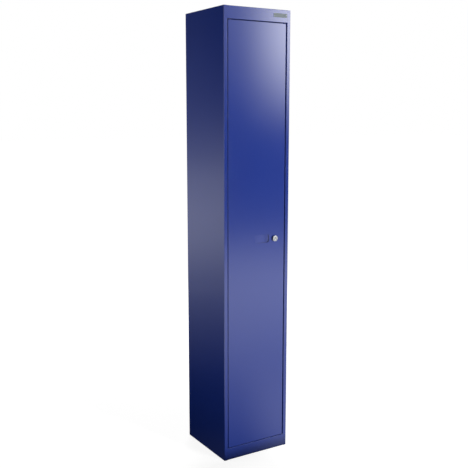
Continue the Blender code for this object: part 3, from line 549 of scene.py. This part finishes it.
def rivet_row():
    """Return the tree that sets a row of domed rivets."""
    if "Rivet row" in bpy.data.node_groups:
        return bpy.data.node_groups["Rivet row"]
    inputs = [("Place", "Geometry"), ("First rivet", "Vector", (0, 0, 0)), ("Step", "Vector", (0.05, 0, 0))]
    inputs += [("Count", "Int", 2), ("Radius", "Float", 0.0015), ("Dome", "Float", 0.5), ("Finish", "Material")]
    tree, given, end = new_group("Rivet row", "GeometryNodeTree", inputs, [("Rivets", "Geometry")])
    row = line(tree, (-4, 1), given["Count"], given["Step"], given["First rivet"])
    ball = add(tree, "GeometryNodeMeshUVSphere", (-4, -1), {"Segments": 20, "Rings": 12, "Radius": given["Radius"]})
    flat = add(tree, "ShaderNodeCombineXYZ", (-4, -2), {"X": 1.0, "Y": 1.0, "Z": given["Dome"]})
    dome = add(tree, "GeometryNodeTransform", (-3, -1), {"Geometry": ball, "Scale": flat})
    copies = {"Points": row, "Instance": dome, "Rotation": (QUARTER, 0, 0)}
    rivets = add(tree, "GeometryNodeInstanceOnPoints", (-1, 0), copies)
    join(end, {"Rivets": coated(tree, (1, 0), rivets, given["Finish"])})
    return tree


def run_tree(piece, tree, values):
    """Run a geometry node tree on a piece with values for its named inputs and keep the plain mesh."""
    modifier = modify(piece, "NODES", node_group=tree)
    sockets = {item.name: item.identifier for item in tree.interface.items_tree if item.in_out == "INPUT"}
    for key, value in values.items():
        modifier[sockets[key]] = value
    settle(piece)


def press_welds(piece, first, gap, count, across=0.0, rows=1):
    """Press upright rows of weld dents into a sheet."""
    weld = bpy.context.scene.locker_welds
    values = {"First weld": first, "Step": (0, 0, gap), "Count": count, "Next row": (across, 0, 0), "Rows": rows}
    values.update({"Radius": weld.radius, "Depth": weld.depth, "Finish": powder_coat()})
    run_tree(piece, weld_rows(), values)
    shade(piece.data)


# Sheets


def tighten_fold(piece, height, side, radius):
    """Shrink the outer radius of the fold beside the door; the sheet lies above (1) or below (-1) its height."""
    scale = radius / FOLD
    for vertex in piece.data.vertices:
        back, up = vertex.co.y - FRONT, vertex.co.z - height
        on_arc = abs(math.hypot(back - FOLD, up - side * FOLD) - FOLD) < SAME_POINT
        if on_arc and max(back, abs(up)) < FOLD + SAME_POINT:
            vertex.co.y, vertex.co.z = FRONT + back * scale, height + up * scale


def press_pull(door, coat, pull):
    """Press the finger pull into the door's sheet, with a dished floor and a tight lip."""
    outside, inside = FRONT - 6 * MM, FRONT + 14 * MM
    left, right = -22 * MM, pull.right + 5.5 * MM
    low, high = pull.up - 24 * MM, pull.up + 24 * MM
    start, bend, rise = left + 2 * MM, pull.right - pull.corner, pull.half - pull.corner
    patch = [(left, low), (right, low), (right, high), (left, high)]
    carve(door, prism_form(patch, outside, inside), coat)
    carve(door, prism_form(patch, FRONT, FRONT + SHEET), coat, "UNION")

    def ring(y, grow):
        """Return the pull's outline at a depth, grown by a little."""
        reach = pull.corner + grow
        outline = [(start, pull.up - rise - reach)]
        outline += arc((bend, pull.up - rise), reach, -QUARTER, 0.0, 16)
        outline += arc((bend, pull.up + rise), reach, 0.0, QUARTER, 16)
        outline.append((start, pull.up + rise + reach))
        return [(x, y, z) for x, z in outline]

    stops = ((-24, -0.6), (-12, -0.02), (0, 1.1), (12, 2.75), (24, 4.75), (31, 6.0), (37, 6.95))
    stops += ((42.5, 7.2), (48, 6.4), (53, 5.1), (58, 3.8), (75, -0.8))
    path = smooth_path([Vector((x, depth)) * MM for x, depth in stops], 5)

    def above_floor(grow):
        """Return the space in front of the dished floor, set back by a little."""
        points = []
        for before, point, after in zip(path[:1] + path, path, path[1:] + path[-1:]):
            ahead = (after - before).normalized()
            points.append((point.x - ahead.y * grow, FRONT + point.y + ahead.x * grow))
        points += [(points[-1][0], outside - MM), (points[0][0], outside - MM)]
        return skin([[(x, y, z) for x, y in points] for z in (low, high)], capped=True)

    lip = arc((pull.lip, pull.lip), pull.lip, 3 * QUARTER, 2 * QUARTER, 4)
    hollow = [ring(outside, pull.lip), *(ring(FRONT + depth, away) for away, depth in lip), ring(inside, 0.0)]
    behind = [ring(FRONT + SHEET / 2, SHEET), ring(inside, SHEET)]
    for rings, grow, operation in ((behind, SHEET, "UNION"), (hollow, 0.0, "DIFFERENCE")):
        dish = new_piece("dish", skin(rings, capped=True), coat)
        carve(dish, above_floor(grow), coat, "INTERSECT")
        combine(door, dish, operation)


class LOCKER_OT_sheets(bpy.types.Operator):
    """Make the painted sheets of the cabinet and the door, with their spot welds"""

    bl_idname = "locker.sheets"
    bl_label = "Painted sheets"

    def execute(self, context):
        coat, slot = powder_coat(), "blue_powder_coat"
        paint, weld = context.scene.locker_paint, context.scene.locker_welds
        from_edge, inset = 7.5 * MM, 6 * MM
        for side, sign in (("left", -1), ("right", 1)):
            node = side + "_side_panel"
            piece = merged_copy("painted_" + side + "_side", node, coat)
            low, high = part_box(node)
            edge = max(abs(low.x), abs(high.x))
            gap = (high.z - low.z) / weld.side_count
            press_welds(piece, (sign * (edge - from_edge), high.y, low.z + gap / 2), gap, weld.side_count)
            even_shading(piece)
            stand_in(piece, "carcass", slot, node)
        above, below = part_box("top_panel")[1].z - paint.fascia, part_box("base_panel")[1].z
        for name, node, fold in (
            ("top", "top_panel", (above, 1)),
            ("base", "base_panel", (below, -1)),
            ("shelf", "hat_shelf", None),
        ):
            piece = merged_copy("painted_" + name, node, coat)
            if fold:
                tighten_fold(piece, *fold, paint.crease)
            even_shading(piece)
            stand_in(piece, "carcass", slot, node)
        door = merged_copy("painted_door", "door_skin", coat)
        press_pull(door, coat, context.scene.locker_pull)
        even_shading(door)
        stand_in(door, "door", slot, "door_skin")
        rib = merged_copy("painted_stiffener", "door_stiffener", coat)
        low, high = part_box("door_stiffener")
        gap = (high.z - low.z) / weld.rib_count
        first = (low.x + inset, low.y + SHEET, low.z + gap / 2)
        press_welds(rib, first, gap, weld.rib_count, high.x - low.x - 2 * inset, 2)
        even_shading(rib)
        stand_in(rib, "door", slot, "door_stiffener")
        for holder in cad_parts["back_panel"].material_slots:
            holder.material = coat
        return {"FINISHED"}


# Cam lock


def make_head(lock, chrome, low, high, centre):
    """Turn the rounded head and the threaded barrel as one body."""
    head, barrel, bore = (high.x - low.x) / 2, 9.0 * MM, 6.75 * MM
    front, under, root = low.y, FRONT - SEAM, barrel - lock.thread
    first, last, bevel, end = FRONT + 1.4 * MM, high.y - 0.6 * MM, 0.3 * MM, 0.4 * MM
    mouth = ((0.0, 0.6), (0.15, 0.2), (0.5, 0.0))
    rows = [(bore + out * MM, front + back * MM) for out, back in mouth]
    rows += arc((head - lock.rim, front + lock.rim), lock.rim, -QUARTER, 0.0)
    rows += [(head, under - bevel), (head - bevel, under), (barrel, under), (barrel, first)]
    turns = int((last - first) / lock.pitch * 4)
    rows += [(barrel, first + step * lock.pitch / 4, lock.thread) for step in range(1, turns)]
    rows += [(root, last), (root - end, high.y), (bore, high.y)]
    piece = new_piece("lock_head", turned_form(rows, centre, True, lock.pitch), chrome)
    # Painted shade: the collar's side faces get the dark chrome, which stands in for the shadow and dark reflection
    # where the head stands out of the door.
    piece.data.materials.append(fitting("shade-painted chrome"))
    for face in piece.data.polygons:
        if abs(face.normal.y) < 0.5 and face.center.y < FRONT:
            face.material_index = 1
    even_shading(piece)
    stand_in(piece, "door", "lock_chrome", "lock_body")


def make_core(lock, chrome, centre):
    """Turn the core, add its square shank and cut the warded keyway and the screw's hole."""
    low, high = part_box("lock_plug")
    radius, shoulder, half = (high.x - low.x) / 2, high.y - 2.5 * MM, 3.5 * MM
    rim, bevel, deep, bore = 0.35 * MM, 0.2 * MM, 9 * MM, 2.3 * MM
    rows = [(0.0, low.y), (radius - rim, low.y), (radius, low.y + rim)]
    rows += [(radius, shoulder - bevel), (radius - bevel, shoulder), (0.0, shoulder)]
    core = new_piece("lock_core", turned_form(rows, centre), chrome)
    carve(core, prism_form(box_outline(centre, half, half), shoulder - 2 * MM, high.y), chrome, "UNION")
    wide, tall, ward = lock.key_width / 2, lock.key_height / 2, lock.key_width / 2 - lock.ward
    slot = [(-wide, -1), (wide, -1), (wide, -0.45), (ward, -0.35), (ward, -0.1), (wide, 0), (wide, 1)]
    slot += [(-wide, 1), (-wide, 0.6), (-ward, 0.5), (-ward, 0.25), (-wide, 0.15)]
    slot = [(centre[0] + x, centre[1] + part * tall) for x, part in slot]
    # Painted shade: the keyway's inner faces take the dark chrome, which stands in for the shade inside the recess.
    carve(core, prism_form(slot, low.y - MM, low.y + deep), fitting("shade-painted chrome"))
    first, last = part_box("cam_screw")[0].y - SEAM, high.y + MM
    hole = [(0.0, first), (bore, first), (bore, last), (0.0, last)]
    carve(core, turned_form(hole, centre, steps=32), chrome)
    even_shading(core)
    stand_in(core, "lock_cylinder", "lock_chrome", "lock_plug")


def make_nut(zinc, centre):
    """Cut the hexagonal ring nut with its corners chamfered on both faces."""
    low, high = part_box("lock_nut")
    corner = (high.z - low.z) / 2
    flat, over, slope = corner * math.cos(math.pi / 6), corner + 0.2 * MM, 1.0 * MM
    hole, mouth, bevel = 9.3 * MM, 9.7 * MM, 0.4 * MM
    turns = [math.pi * side / 3 for side in range(6)]
    outline = [(centre[0] + corner * math.sin(turn), centre[1] + corner * math.cos(turn)) for turn in turns]
    nut = new_piece("ring_nut", prism_form(outline, low.y, high.y), zinc)
    rows = [(0.0, low.y), (flat, low.y), (over, low.y + slope)]
    rows += [(over, high.y - slope), (flat, high.y), (0.0, high.y)]
    carve(nut, turned_form(rows, centre), zinc, "INTERSECT")
    rows = [(0.0, low.y - MM), (mouth, low.y - MM), (mouth, low.y), (hole, low.y + bevel)]
    rows += [(hole, high.y - bevel), (mouth, high.y), (mouth, high.y + MM), (0.0, high.y + MM)]
    carve(nut, turned_form(rows, centre), zinc)
    stand_in(nut, "door", "zinc_plate", "lock_nut")


def make_screw(lock, zinc, centre):
    """Turn the screw with its domed head and cut the cross recess."""
    low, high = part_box("cam_screw")
    head, shank, under = (high.x - low.x) / 2, 2.0 * MM, high.y - 3.0 * MM
    tip, point, bevel, arm, half = 0.5 * MM, 0.6 * MM, 0.2 * MM, 2.9 * MM, 0.5 * MM
    dome = ((1.0, 1.0), (0.97, 1.7), (0.86, 2.3), (0.62, 2.8))
    rows = [(0.0, low.y), (shank - tip, low.y), (shank, low.y + point), (shank, under)]
    rows += [(head - bevel, under), (head, under + bevel)]
    rows += [(head * part, under + up * MM) for part, up in dome]
    rows += [(head * 0.3, high.y), (0.0, high.y)]
    screw = new_piece("cross_screw", turned_form(rows, centre, steps=40), zinc)
    for wide, tall in ((arm, half), (half, arm)):
        bar = prism_form(box_outline(centre, wide, tall), high.y - lock.recess, high.y + MM)
        carve(screw, bar, zinc)
    stand_in(screw, "lock_cylinder", "zinc_plate", "cam_screw")


class LOCKER_OT_lock(bpy.types.Operator):
    """Make the cam lock: head and threaded barrel, keyed core, ring nut, cam and its screw"""

    bl_idname = "locker.lock"
    bl_label = "Cam lock"

    def execute(self, context):
        lock, edge = context.scene.locker_lock, context.scene.locker_fittings.edge
        chrome, zinc = fitting("plated chrome"), fitting("zinc plating")
        low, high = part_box("lock_body")
        centre = ((low.x + high.x) / 2, (low.z + high.z) / 2)
        make_head(lock, chrome, low, high, centre)
        make_core(lock, chrome, centre)
        make_nut(zinc, centre)
        rounded_copy("latch_cam", "lock_cam", "zinc plating", edge, 2, "lock_cylinder", "zinc_plate")
        make_screw(lock, zinc, centre)
        return {"FINISHED"}


# Other fittings


class LOCKER_OT_pivots(bpy.types.Operator):
    """Make the pivot pins, their nylon bushes and the plates that stiffen the door's corners"""

    bl_idname = "locker.pivots"
    bl_label = "Pivots"

    def execute(self, context):
        edge = context.scene.locker_fittings.edge
        for place in ("upper", "lower"):
            low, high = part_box(place + "_pivot_plate")
            bend = (low.x + PIVOT_PLATE, high.z - PIVOT_PLATE if place == "upper" else low.z + PIVOT_PLATE)
            for part, finish_name, body, slot, tight in (
                ("pin", "zinc plating", "carcass", "zinc_plate", None),
                ("bush", "moulded nylon", "door", "black_nylon", None),
                ("plate", "zinc plating", "door", "zinc_plate", bend),
            ):
                rounded_copy(part + "_" + place, place + "_pivot_" + part, finish_name, edge, 2, body, slot, tight)
        return {"FINISHED"}


class LOCKER_OT_rail(bpy.types.Operator):
    """Make the oval coat rail and the sockets that hold its ends"""

    bl_idname = "locker.rail"
    bl_label = "Coat rail"

    def execute(self, context):
        low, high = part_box("coat_rail")
        wall, rim = 1.2 * MM, 0.2 * MM
        section = [(0.0, low.x + rim), (0.0, high.x - rim), (-rim, high.x), (rim - wall, high.x)]
        section += [(-wall, high.x - rim), (-wall, low.x + rim), (rim - wall, low.x), (-rim, low.x)]
        rail = new_piece("oval_rail", oval_band("coat_rail", section), fitting("plated chrome"))
        stand_in(rail, "carcass", "rail_chrome", "coat_rail")
        edge = 2 * context.scene.locker_fittings.edge
        for side in ("left", "right"):
            node = side + "_rail_socket"
            rounded_copy("rail_cup_" + side, node, "moulded nylon", edge, 3, "carcass", "black_nylon")
        return {"FINISHED"}


class LOCKER_OT_hook(bpy.types.Operator):
    """Make the double coat hook: a band round the rail with a stem and two prongs"""

    bl_idname = "locker.hook"
    bl_label = "Coat hook"

    def execute(self, context):
        low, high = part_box("coat_hook")
        rail_low, rail_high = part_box("coat_rail")
        middle = (rail_low + rail_high) / 2
        zinc = fitting("zinc plating")
        clear, wall, corner = 0.5 * MM, 2.4 * MM, 0.7 * MM
        section = rounded_box((clear, low.x), (clear + wall, high.x), corner, 3)
        hook = new_piece("double_hook", oval_band("coat_rail", section), zinc)

        def below(down, out=0.0):
            """Return the point that lies below the middle of the rail and out from it."""
            return Vector((0, middle.y + out, middle.z - down))

        wire, flare, taper, foot = 2.6 * MM, 3 * MM, 6 * MM, 55.3 * MM
        top = (rail_high.z - rail_low.z) / 2 + clear + wall / 2
        stem = [below(down) for down in (top, top + flare, foot - taper, foot)]
        radii = [wire * part for part in (1.5, 1.05, 0.96, 0.96)]
        carve(hook, wire_form(stem, radii), zinc, "UNION")
        spread, saddle, ball, swell = 30 * MM, 55.9 * MM, 3.1 * MM, 7 * MM
        prong = ((0.98, 41.1), (0.98, 48.8), (0.93, 56.0), (0.79, 60.56), (0.6, 61.95), (0.4, 59.75), (0.18, 56.93))
        points = [below(down * MM, -part * spread) for part, down in prong] + [below(saddle)]
        points += [below(down * MM, part * spread) for part, down in reversed(prong)]
        path = smooth_path(points)
        bulge = [ball - (ball - wire) * min(1.0, (path[0] - point).length / swell) ** 2 for point in path]
        bulge = [max(pair) for pair in zip(bulge, reversed(bulge))]
        turns = [QUARTER * step / 6.3 for step in range(1, 7)]
        tips = [(Vector((0, 0, ball * math.sin(turn))), ball * math.cos(turn)) for turn in turns]
        ends = [(path[0] + rise, radius) for rise, radius in reversed(tips)] + list(zip(path, bulge))
        ends += [(path[-1] + rise, radius) for rise, radius in tips]
        carve(hook, wire_form(*zip(*ends)), zinc, "UNION")
        stand_in(hook, "hook", "zinc_plate", "coat_hook")
        return {"FINISHED"}


class LOCKER_OT_buffers(bpy.types.Operator):
    """Make the rubber buffers that the door closes against"""

    bl_idname = "locker.buffers"
    bl_label = "Door buffers"

    def execute(self, context):
        edge = 1.6 * context.scene.locker_fittings.edge
        for place in ("lower", "middle", "upper"):
            node = place + "_door_buffer"
            rounded_copy("buffer_" + place, node, "matt rubber", edge, 3, "carcass", "grey_rubber")
        return {"FINISHED"}


class LOCKER_OT_plate(bpy.types.Operator):
    """Make the blank plate on the fascia and its two rivets"""

    bl_idname = "locker.plate"
    bl_label = "Blank plate"

    def execute(self, context):
        plate = context.scene.locker_plate
        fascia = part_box("top_panel")[0].y
        face, rear = fascia - plate.thickness, fascia - 0.01 * MM
        corner, bevel, inset = 2 * MM, 0.12 * MM, 4 * MM
        half, middle = Vector((plate.width, plate.height)) / 2, Vector((plate.across, plate.up))
        outline = rounded_box(middle - half, middle + half, corner, 5)
        piece = new_piece("blank_plate", prism_form(outline, face, rear), brushed_satin())
        round_edges(piece, bevel)
        stand_in(piece, "carcass", "zinc_plate")
        rivets = bpy.data.objects.new("plate_rivets", bpy.data.meshes.new("plate_rivets"))
        context.scene.collection.objects.link(rivets)
        reach = plate.width / 2 - inset
        values = {"First rivet": (plate.across - reach, face, plate.up), "Step": (2 * reach, 0, 0), "Count": 2}
        values.update({"Radius": plate.rivet, "Dome": 0.45, "Finish": fitting("zinc plating")})
        run_tree(rivets, rivet_row(), values)
        rivets.data.shade_smooth()
        stand_in(rivets, "carcass", "zinc_plate")
        return {"FINISHED"}


# Studio


def seen_directly(tree):
    """Return a value that is 1 for rays from the camera, reflections and glass."""
    rays = add(tree, "ShaderNodeLightPath", (-5, 1)).outputs
    first = maths(tree, "MAXIMUM", (-4, 1), rays["Is Camera Ray"], rays["Is Glossy Ray"])
    return maths(tree, "MAXIMUM", (-3, 1), first, rays["Is Transmission Ray"])


def make_world(scene, stage):
    """Show white behind the object and light it from all around at a plain level."""
    scene.world = bpy.data.worlds.new("Studio")
    scene.world.use_nodes = True
    tree = scene.world.node_tree
    span = {"Value": seen_directly(tree), "To Min": stage.fill, "To Max": 1.0}
    strength = add(tree, "ShaderNodeMapRange", (-2, 1), span)
    join(tree.nodes["Background"], {"Color": (1, 1, 1, 1), "Strength": strength})


def bare_material(name):
    """Return a new material without a surface, and its node tree."""
    material = bpy.data.materials.new(name)
    material.use_nodes = True
    tree = material.node_tree
    tree.nodes.remove(tree.nodes["Principled BSDF"])
    return material, tree


def make_floor(stage):
    """Lay the pale floor, white where it is open and a little darker in the object's shadow."""
    material, tree = bare_material("pale floor")
    matt = add(tree, "ShaderNodeBsdfDiffuse", (-1, 1), {"Color": stage.floor})
    faint = add(tree, "ShaderNodeBsdfDiffuse", (-2, -1), {"Color": (0.5, 0.5, 0.5, 1)})
    white = add(tree, "ShaderNodeEmission", (-2, -2), {"Color": (1, 1, 1, 1), "Strength": 0.88})
    lit = add(tree, "ShaderNodeAddShader", (-1, -1), {0: faint, 1: white})
    either = add(tree, "ShaderNodeMixShader", (0, 0), {0: seen_directly(tree), 1: matt, 2: lit})
    join(tree.nodes["Material Output"], {"Surface": either})
    form = bmesh.new()
    bmesh.ops.create_grid(form, x_segments=1, y_segments=1, size=40)
    bmesh.ops.translate(form, verts=form.verts, vec=(0, 0, -0.2 * MM))
    new_piece("floor", form, material)


def ramp(tree, value, stops):
    """Return a strength that follows stops of (place, strength)."""
    low, high = stops[0][0], stops[-1][0]
    span = add(tree, "ShaderNodeMapRange", (-6, 2), {"Value": value, "From Min": low, "From Max": high})
    curve = add(tree, "ShaderNodeValToRGB", (-5, 2), {"Fac": span})
    points = curve.color_ramp.elements
    while len(points) < len(stops):
        points.new(0.5)
    for point, (place, strength) in zip(points, stops):
        point.position = (place - low) / (high - low)
        point.color = (strength, strength, strength, 1)
    return curve


def window(tree, axes, edges):
    """Return a soft-edged window; each edge (left, right, low, high) is its places of 0 and 1, or None."""
    total = 1.0
    for axis, edge in zip("XXZZ", edges):
        if edge:
            span = {"Value": axes.outputs[axis], "From Min": edge[0], "From Max": edge[1]}
            step = add(tree, "ShaderNodeMapRange", (-6, -1), span, interpolation_type="SMOOTHSTEP")
            total = maths(tree, "MULTIPLY", (-4, -1), total, step)
    return total


def flat_piece(name, material, sides, hidden, place, turn=(0, 0, 0)):
    """Stand a flat piece between its left, right, low and high sides, hidden from some rays."""
    left, right, low, high = sides
    form = bmesh.new()
    corners = [(left, 0, low), (right, 0, low), (right, 0, high), (left, 0, high)]
    form.faces.new([form.verts.new(corner) for corner in corners])
    piece = new_piece(name, form, material)
    piece.location, piece.rotation_euler = place, turn
    for ray in hidden:
        setattr(piece, "visible_" + ray, False)
    return piece


def card(name, base, turn, away, sides, fades, stops, *windows, lying=False):
    """Stand a card that only reflections see, lit by stops of height and windows of (strength, edges)."""
    material, tree = bare_material(name)
    spot = add(tree, "ShaderNodeTexCoord", (-9, 0)).outputs["Object"]
    axes = add(tree, "ShaderNodeSeparateXYZ", (-8, 0), {0: spot})
    light = ramp(tree, axes.outputs["Z"], stops)
    for strength, edges in windows:
        light = maths(tree, "MULTIPLY_ADD", (-3, 0), window(tree, axes, edges), strength, light)
    lit = add(tree, "ShaderNodeEmission", (-1, 0), {"Strength": light})
    clear = add(tree, "ShaderNodeBsdfTransparent", (-1, 1))
    edges = [(side, side + fade) if fade else None for side, fade in zip(sides, fades)]
    either = add(tree, "ShaderNodeMixShader", (0, 0), {0: window(tree, axes, edges), 1: clear, 2: lit})
    join(tree.nodes["Material Output"], {"Surface": either})
    hidden = ("camera", "diffuse", "transmission", "volume_scatter", "shadow")
    place = Vector(base) + Vector((math.sin(turn), -math.cos(turn), 0)) * away
    return flat_piece(name, material, sides, hidden, place, (-QUARTER if lying else 0, 0, turn))


def make_cards(stage):
    """Stand the cards in the places that the door, the left side and the lower sheets reflect."""
    away, door_turn, side_turn, camera_turn = 3.0, math.radians(33.5), math.radians(29), math.radians(-35)

    stops = [(0.0, 1.32), (0.18, 1.22), (0.32, 0.82), (0.52, 0.24), (0.72, 0.05), (0.9, 0.0), (1.2, 0.0)]
    stops += [(1.36, 0.04), (1.55, 0.12), (1.82, 0.34), (2.1, 0.5), (4.0, 0.9)]
    slope = (0.1, [(-0.28, 0.25), None, None, None])
    box = (stage.window, [(-0.16, 0.34), (1.3, 0.7), (1.15, 2.1), (3.4, 2.6)])
    sides, fades = (-2.3, 2.3, 0.0, 4.0), (0.8, -0.8, 0.0, -0.8)
    card("door_card", (0, FRONT, 0), door_turn, away, sides, fades, stops, slope, box)

    stops = [(0.0, 0.32), (0.2, 0.56), (0.4, 0.78), (0.6, 0.84), (0.9, 0.66), (1.1, 0.38)]
    stops += [(1.36, 0.21), (1.55, 0.14), (1.82, 0.09), (2.1, 0.055), (4.0, 0.05)]
    front = (-0.05, [None, (0.1, -0.2), (1.05, 1.5), None])
    sides, fades = (-1.4, 1.4, 0.0, 4.0), (0.9, -0.9, 0.0, -1.0)
    card("side_card", (CAD_LOW.x, 0, 0), side_turn, -away, sides, fades, stops, front)

    stops = [(0.0, 0.12), (1.5, 0.04), (3.4, 0.3)]
    sides, fades = (-1.9, 1.9, 0.0, 3.4), (0.9, -0.9, 0.0, -1.2)
    card("camera_card", (0, 0, 0), camera_turn, 4.3, sides, fades, stops)

    stops = [(-3.7, 1.36), (-3.0, 1.34), (-2.5, 1.22), (-2.1, 1.1), (-1.57, 0.87), (-1.13, 0.6)]
    stops += [(-0.78, 0.41), (-0.47, 0.28), (-0.22, 0.14), (-0.08, 0.03), (0.3, 0.0), (0.67, 0.0)]
    stops += [(1.0, 0.015), (1.46, 0.07), (2.0, 0.15), (3.0, 0.32)]
    box = (0.55, [(-0.16, 0.1), None, (-1.6, -0.4), (0.0, -0.36)])
    sides, fades = (-1.2, 1.2, -3.7, 3.3), (0.8, -0.8, 0.4, -0.4)
    # The floor card is a painted reflection of the floor: dark near the object as painted shadow, brighter farther out.
    # Diffuse rays see it too, so it also takes bounce light away near the object.
    mat = card("floor_shade_card", (0, 0, 0.4 * MM), side_turn, 0.0, sides, fades, stops, box, lying=True)
    mat.visible_diffuse = True


def make_flag(stage):
    """Stand a low black flag in front that only shades."""
    material = bpy.data.materials.new("black flag")
    material.use_nodes = True
    join(material.node_tree.nodes["Principled BSDF"], {"Base Color": (0, 0, 0, 1)})
    hidden = ("camera", "diffuse", "glossy", "transmission", "volume_scatter")
    flat_piece("flag", material, (-0.4, 0.5, 0.0, stage.flag), hidden, (0, -0.36, 0))


def hang_light(scene, name, power, size, place, target):
    """Hang a soft square light that shines at a target."""
    data = bpy.data.lights.new(name, "AREA")
    data.size = size
    data.energy = power
    lamp = bpy.data.objects.new(name, data)
    place = Vector(place)
    aim = (Vector(target) - place).to_track_quat("-Z", "Y")
    lamp.matrix_world = Matrix.Translation(place) @ aim.to_matrix().to_4x4()
    lamp.visible_camera = False
    lamp.visible_glossy = False
    scene.collection.objects.link(lamp)


class LOCKER_OT_stage(bpy.types.Operator):
    """Set the floor, the soft lights, the cards that the paint reflects and the camera"""

    bl_idname = "locker.stage"
    bl_label = "Studio"

    def execute(self, context):
        scene = context.scene
        stage = scene.locker_stage
        scene.view_settings.view_transform = "Standard"
        make_world(scene, stage)
        make_floor(stage)
        make_cards(stage)
        make_flag(stage)
        hang_light(scene, "Key", stage.key, 0.9, (1.3, -3.6, 0.95), (0, 0, 0.9))
        hang_light(scene, "Side light", stage.side, 0.7, (-1.05, 0.2, 1.1), (CAD_LOW.x, 0.0, 1.05))
        hang_light(scene, "Rear light", stage.rear, 1.6, (1.2, 2.5, 1.8), (0, 0, 0.9))
        data = bpy.data.cameras.new("Camera")
        data.lens = stage.lens
        camera = bpy.data.objects.new("Camera", data)
        camera.location = stage.camera
        camera.rotation_euler = (QUARTER - stage.tilt, 0, -stage.turn)
        scene.collection.objects.link(camera)
        scene.camera = camera
        return {"FINISHED"}


class LOCKER_PT_dressing(bpy.types.Panel):
    """List the locker's settings and the pieces that they make"""

    bl_label = "Steel locker"
    bl_space_type = "VIEW_3D"
    bl_region_type = "UI"
    bl_category = "Locker"

    def draw(self, context):
        for operator in OPERATORS:
            self.layout.operator(operator.bl_idname)
        for key, group in SETTINGS.items():
            box = self.layout.box()
            for label in group.__annotations__:
                box.prop(getattr(context.scene, key), label)


SETTINGS = {
    "locker_paint": PaintSettings,
    "locker_fittings": FittingSettings,
    "locker_pull": PullSettings,
    "locker_lock": LockSettings,
    "locker_welds": WeldSettings,
    "locker_plate": PlateSettings,
    "locker_stage": StageSettings,
}
OPERATORS = (
    LOCKER_OT_sheets,
    LOCKER_OT_lock,
    LOCKER_OT_pivots,
    LOCKER_OT_rail,
    LOCKER_OT_hook,
    LOCKER_OT_buffers,
    LOCKER_OT_plate,
    LOCKER_OT_stage,
)


def register():
    """Register the settings, the operators and the panel."""
    for group in SETTINGS.values():
        bpy.utils.register_class(group)
    for key, group in SETTINGS.items():
        setattr(bpy.types.Scene, key, PointerProperty(type=group))
    for item in (*OPERATORS, LOCKER_PT_dressing):
        bpy.utils.register_class(item)


def unregister():
    """Take back what register made."""
    for item in (LOCKER_PT_dressing, *reversed(OPERATORS)):
        bpy.utils.unregister_class(item)
    for key in SETTINGS:
        delattr(bpy.types.Scene, key)
    for group in reversed(SETTINGS.values()):
        bpy.utils.unregister_class(group)


def main():
    """Make every piece and the studio."""
    register()
    for operator in OPERATORS:
        getattr(bpy.ops.locker, operator.bl_idname.split(".")[1])()


if __name__ == "__main__":
    main()
